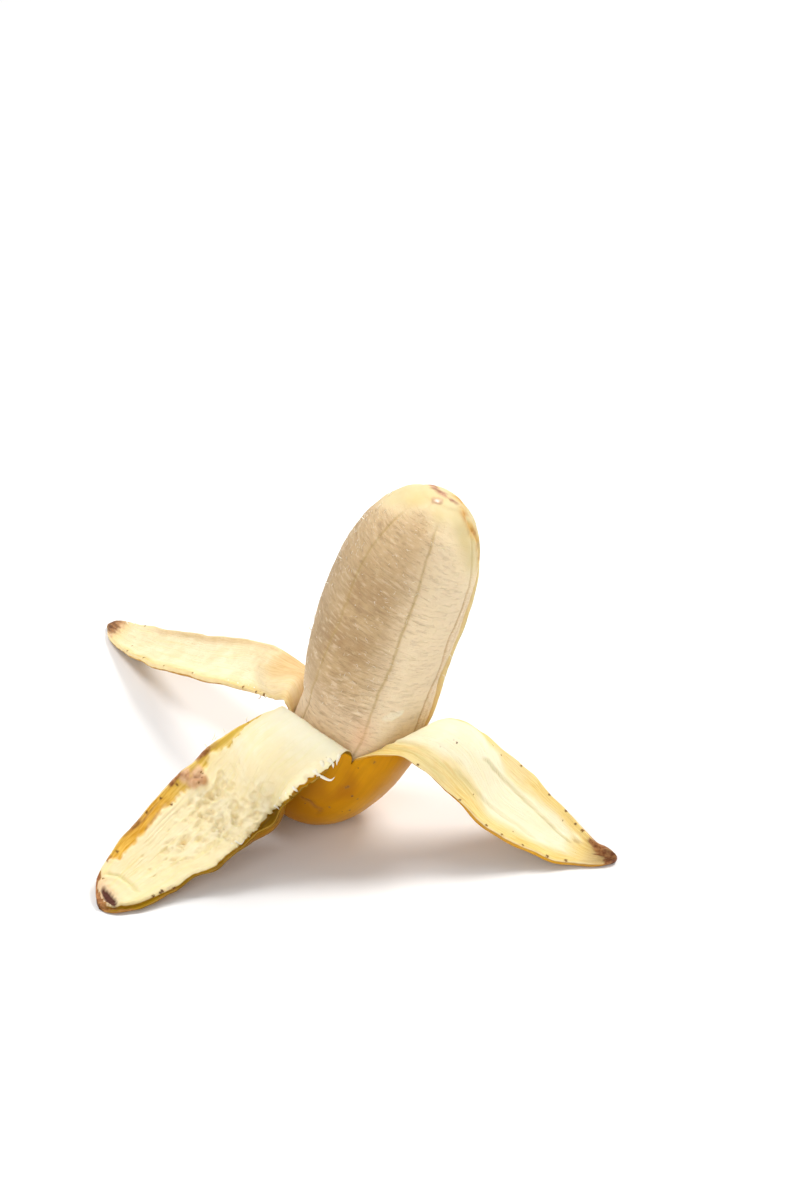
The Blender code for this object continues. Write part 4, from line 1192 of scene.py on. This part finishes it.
def peelFinish(flecks):
    n = Nodes("bananaPeel")
    place = n.place()
    run = n.join(n.mark("grainX"), n.mark("grainY"))
    skin, down = n.mark("skinSide"), n.mark("down")
    broad = n.noise(place, 45.0, 3.0, 0.5)
    mid = n.noise(place, 160.0, 3.0, 0.6)
    fine = n.noise(place, 800.0, 2.0, 0.6)
    fibre = n.noise(n.stretch(run, (2.6, 0.16, 1.0)), 1.0, 3.0, 0.6, 0.3)
    vein = n.noise(n.stretch(run, (0.9, 0.05, 1.0)), 1.0, 2.0, 0.5, 0.4)
    # the pith side
    pith = n.blend(mid, 0.35, 0.7, (0.95, 0.82, 0.52), (0.98, 0.88, 0.62))
    pith = n.mix(n.band(vein, 0.50, 0.68, 0.0, 0.5), pith, (0.93, 0.82, 0.42))
    pith = n.mix(n.band(fibre, 0.52, 0.72, 0.0, 0.35), pith, (0.84, 0.71, 0.38))
    rim = n.blend(fibre, 0.35, 0.65, (0.84, 0.56, 0.14), (0.93, 0.73, 0.28))
    upper = n.blend(vein, 0.4, 0.62, (0.63, 0.41, 0.06), (0.83, 0.61, 0.19))
    lower = n.blend(fibre, 0.4, 0.62, (0.68, 0.33, 0.025), (0.86, 0.54, 0.10))
    tan = n.blend(fibre, 0.4, 0.6, (0.58, 0.38, 0.15), (0.70, 0.50, 0.24))
    pink = n.blend(mid, 0.4, 0.6, (0.60, 0.34, 0.18), (0.84, 0.58, 0.36))
    # the pits and combed grooves are tinted darker as painted shade; the white by the fold is partly painted
    # light and the tan at the left strip's root partly painted shade
    for mark, share, tone in (("hollow", 0.5, (0.78, 0.64, 0.36)), ("white", 0.75, (1.0, 0.95, 0.73)),
                              ("yellow", n.band(broad, 0.25, 0.7, 0.55, 1.0), rim),
                              ("bare", 1.0, n.blend(down, 0.50, 0.72, upper, lower)),
                              ("green", 0.6, (0.62, 0.56, 0.20)), ("tan", 1.0, tan), ("pink", 1.0, pink)):
        pith = n.tint(pith, mark, share, tone)
    # the skin side
    outside = n.blend(broad, 0.3, 0.7, (0.47, 0.18, 0.001), (0.70, 0.325, 0.002))
    outside = n.mix(n.band(vein, 0.48, 0.66, 0.0, 0.35), outside, (0.46, 0.20, 0.002))
    olive = n.blend(broad, 0.35, 0.65, (0.24, 0.125, 0.003), (0.40, 0.23, 0.005))
    # the darker lower cup and the shade tint are painted shade, the paler right side of the cup a painted
    # reflection
    for mark, share, tone in (("green", 1.0, olive), ("under", 0.6, (0.27, 0.10, 0.001)),
                              ("shade", n.band(fibre, 0.35, 0.65, 0.6, 1.0), (0.15, 0.070, 0.0015)),
                              ("stain", 0.6, (0.36, 0.12, 0.002)), ("pale", 0.5, (0.62, 0.34, 0.08))):
        outside = n.tint(outside, mark, share, tone)
    # what lies on both: torn edges, brown and black ends, the drawn flecks and tiny ones at random
    skinShare = n.band(skin, 0.45, 0.7)
    colour = n.mix(skinShare, pith, outside)
    worn = n.blend(fine, 0.35, 0.65, (0.25, 0.088, 0.032), (0.47, 0.22, 0.085))
    tip = n.blend(mid, 0.35, 0.65, (0.028, 0.010, 0.008), (0.13, 0.045, 0.03))
    for mark, share, tone in (("torn", n.band(mid, 0.3, 0.6, 0.2, 0.6), (0.82, 0.62, 0.30)),
                              ("brown", n.band(mid, 0.3, 0.55, 0.65, 1.0), worn), ("dark", 1.0, tip)):
        colour = n.tint(colour, mark, share, tone)
    off = n.nearest(n.shaken(place, 2200.0, 0.0009), flecks)
    fleck = n.band(off, 0.75, 1.25, 1.0, 0.0)
    colour = n.mix(n.band(off, 0.9, 2.2, 0.35, 0.0), colour, (0.42, 0.20, 0.03))
    black = n.blend(mid, 0.4, 0.6, (0.12, 0.045, 0.014), (0.30, 0.14, 0.03))
    colour = n.mix(n.times(fleck, 0.9), colour, black)
    tiny = n.times(n.band(n.spots(place, 420.0), 0.07, 0.13, 0.8, 0.0),
                   n.band(n.noise(place, 70.0, 1.0), 0.56, 0.62))
    colour = n.mix(n.times(tiny, n.band(skin, 0.45, 0.7, 0.25, 1.0)), colour, (0.22, 0.09, 0.015))
    strong = n.times(fibre, n.band(down, 0.25, 0.6, 0.6, 1.5))
    pithHeight = n.total((strong, 1.0), (fine, 0.5))
    skinHeight = n.total((mid, 0.5), (n.noise(place, 1500.0, 2.0), 0.12))
    height = n.node("ShaderNodeMix", {0: skinShare, 2: pithHeight, 3: skinHeight}).outputs[0]
    normal = n.relief(n.total((height, 1.0), (fleck, -0.4)), 0.0003, 0.8)
    return n.finish(Base_Color=colour, Roughness=n.band(skin, 0.45, 0.7, 0.62, 0.36), Normal=normal,
                    Subsurface_Weight=0.10, Subsurface_Radius=(0.003, 0.0018, 0.0008), Subsurface_Scale=1.0,
                    Specular_IOR_Level=n.band(skin, 0.45, 0.7, 0.16, 0.07))


peelSurface, fleckPlaces = makePeel()
peelSurface.piece("peelSkin", peelFinish(fleckPlaces), "peel_skin", "peel")


# Torn fibres and hairs: thin tubes, each a radius and the places in mm that it runs through, root first
fibres = {
    "sides": 6, "steps": 9,
    "lines": [
        # the fringe on the near edge of the front left strip
        (0.50, (-5.7, -22.6, 33.7), (-6.1, -23.2, 32.7), (-6.3, -23.5, 32.1), (-6.3, -23.9, 31.5)),
        (0.62, (-8.5, -23.4, 32.9), (-7.6, -23.8, 32.2), (-7.3, -24.2, 31.5), (-7.2, -24.5, 31)),
        (0.60, (-10.3, -23.6, 32.3), (-9.8, -24.2, 31.4), (-9.6, -24.6, 30.7), (-9.6, -25, 30)),
        (0.50, (-12.3, -25, 30.2), (-10.7, -25.6, 29.3), (-8.8, -26.1, 28.4), (-7.7, -26.2, 28.3),
         (-6.9, -25.8, 28.9)),
        (0.40, (-11.8, -24.8, 30.6), (-11.4, -25.3, 29.8), (-11.5, -25.8, 29)),
        (0.42, (-17.7, -26.4, 26), (-16.9, -26.8, 25.4), (-16.3, -27, 25)),
        (0.34, (-19.6, -26, 24.1), (-18.9, -26.2, 23.7), (-18.4, -26.6, 23.1)),
        (0.36, (-21.3, -24.3, 21.3), (-20.7, -24.7, 20.7), (-20.2, -25, 20.2)),
        (0.34, (-22.9, -23.7, 18.4), (-22.1, -24, 18), (-21.6, -24.3, 17.5)),
        (0.26, (-33.1, -29.7, 11.2), (-31.6, -30.1, 10.5), (-30.7, -29.5, 11.5)),
        (0.22, (-34.1, -30.1, 10.8), (-33.3, -30.6, 9.9), (-33.6, -30.9, 9.4)),
        # its far edge
        (0.16, (-40, -6.1, 27.4), (-39.4, -5.6, 28.3), (-39.2, -4.9, 29.3)),
        (0.13, (-39.3, -6, 27.5), (-38.8, -5.6, 28.1), (-38.3, -5.5, 28.2)),
        (0.12, (-30.9, -3.2, 31.5), (-30.8, -2.9, 32.2), (-30.4, -2.6, 32.6)),
        (0.14, (-41.5, -7.2, 25.9), (-41.8, -6.9, 26.5), (-42.3, -6.9, 26.5)),
        (0.12, (-36.7, -4.7, 29.2), (-37, -4.4, 29.7), (-36.7, -4.2, 30)),
        # the left strip
        (0.20, (-29.8, 17.2, 29.1), (-28.5, 16.6, 28.2), (-27.9, 16, 27.2), (-28.4, 15.6, 26.5),
         (-29, 15.7, 26.7)),
        (0.14, (-26.3, 11, 30.6), (-26.5, 10.6, 29.9), (-27.4, 10.5, 29.7)),
        (0.20, (-34.7, 23.6, 26.4), (-33.5, 23.2, 25.7), (-32.5, 23, 25.5)),
        (0.18, (-37.6, 27.4, 25), (-36.7, 27, 24.4)),
        (0.18, (-47.9, 38.9, 19.9), (-47.3, 38.5, 19.3)),
        (0.18, (-31.4, 19.9, 28.1), (-30.6, 19.6, 27.6), (-30.3, 19.3, 27.2)),
        (0.15, (-71.6, 91.6, 3.7), (-72.1, 92, 4.4), (-72.6, 92.4, 5.1)),
        (0.15, (-69.8, 90.2, 4.7), (-69.2, 90.5, 5.2), (-68.5, 90.4, 4.9)),
        # hairs on the flesh
        (0.13, (7.1, 8.4, 94), (8, 8.8, 94.7), (8.2, 9.2, 95.4), (7.6, 9.7, 96.1)),
        (0.12, (0.8, 4.8, 89), (0.2, 5, 89.4), (-0.1, 5.3, 89.8)),
        (0.10, (-5, 0.3, 79.8), (-5.7, 0.6, 80.2), (-6, 0.9, 80.8)),
        (0.13, (-8.6, 1.1, 71.9), (-9.4, 1.3, 72.1), (-10.1, 1.5, 72.6)),
        (0.12, (-10.2, 1.6, 67.8), (-10.8, 1.9, 68.2), (-11, 2.2, 68.8)),
        (0.12, (-12.2, 1.1, 61.4), (-12.8, 1.3, 61.7), (-13.1, 1.6, 62.1)),
        (0.14, (-13.1, 0.3, 57.8), (-13.8, 0.8, 58.5), (-13.9, 1.2, 59.2), (-14.4, 1.5, 59.7)),
        (0.10, (-14.4, 3.2, 53.3), (-15.1, 3.4, 53.6)),
        (0.09, (-1.4, -10.9, 72.3), (-0.1, -10.5, 72.9), (1.3, -10.4, 73), (2.6, -10.8, 72.4)),
        (0.08, (-11.7, -4.2, 58.6), (-10.8, -4.8, 57.7), (-10.4, -5.5, 56.5)),
        (0.08, (-5.5, -11.9, 60.2), (-3.8, -12.1, 59.9), (-2.2, -12.2, 59.7)),
        (0.10, (23.2, -1.4, 51.4), (23.8, -1.7, 50.9), (23.5, -2, 50.4)),
        (0.10, (21.5, -1.9, 45.4), (22, -2.1, 45), (21.9, -2.5, 44.4)),
    ],
    # fine hairs lying on the flesh, drawn at random: their count, radius, least and most length
    "hairs": 420, "hairRadius": 0.05, "hairLength": (0.5, 1.4),
}


def tube(surface, path, radius, sides, steps):
    # rings round the path that thin to a fine point, closed with a fan at both ends
    line = smoothThrough(np.arange(len(path)), path, np.linspace(0, len(path) - 1, steps))
    onward = unitOf(np.gradient(line, axis=0))
    aside = unitOf(np.cross(onward, np.array([0.31, 0.87, 0.38])))
    upward = np.cross(onward, aside)
    turn = np.linspace(0, 2 * pi, sides + 1)[:-1][None, :, None]
    thin = (radius * (1 - 0.85 * np.linspace(0, 1, steps) ** 1.6))[:, None, None]
    rings = line[:, None] + thin * (np.cos(turn) * aside[:, None] + np.sin(turn) * upward[:, None])
    numbers = surface.add(rings)
    surface.wrap(numbers, True)
    root, point = surface.add(line[[0, -1]] + onward[[0, -1]] * np.array([[-radius], [0.3 * radius]]))
    surface.fan(numbers[0], root)
    surface.fan(numbers[-1], point, True)


def makeFibres(material):
    surface = Surface()
    for radius, *path in fibres["lines"]:
        tube(surface, np.array(path, float), radius, fibres["sides"], fibres["steps"])
    rng = np.random.default_rng(11)
    for _ in range(fibres["hairs"]):
        angle = rng.uniform(-128, -45) if rng.random() < 0.7 else rng.uniform(-45, 15)
        along = rng.uniform(2, 60)
        root = around(angle, along, pulpRadius(along) - 0.15)
        outward = unitOf(root - axisAt(along)[0])
        sideways = unitOf(around(angle + 1, along, fruit["girth"]) - around(angle, along, fruit["girth"]))
        heading = rng.normal(0, 0.9)
        lying = np.cos(heading) * sideways + np.sin(heading) * np.cross(outward, sideways)
        length = rng.uniform(*fibres["hairLength"])
        lift, bend = rng.uniform(0.1, 0.6), rng.normal(0, 0.35)
        across = np.cross(outward, lying)
        path = np.array([root, root + lying * length * 0.4 + outward * length * lift * 0.5,
                         root + lying * length * 0.9 + across * bend * length
                         + outward * length * lift * 0.7])
        tube(surface, path, fibres["hairRadius"] * rng.uniform(0.7, 1.3), 4, 5)
    surface.piece("tornFibres", material, None)


def fibreFinish():
    n = Nodes("bananaFibre")
    colour = n.mix(n.band(n.noise(n.place(), 90.0, 2.0), 0.35, 0.65), (0.95, 0.88, 0.70), (0.98, 0.95, 0.84))
    return n.finish(Base_Color=colour, Roughness=0.6, Subsurface_Weight=0.15, Subsurface_Scale=1.0,
                    Subsurface_Radius=(0.002, 0.0014, 0.0008), Specular_IOR_Level=0.3)


makeFibres(fibreFinish())
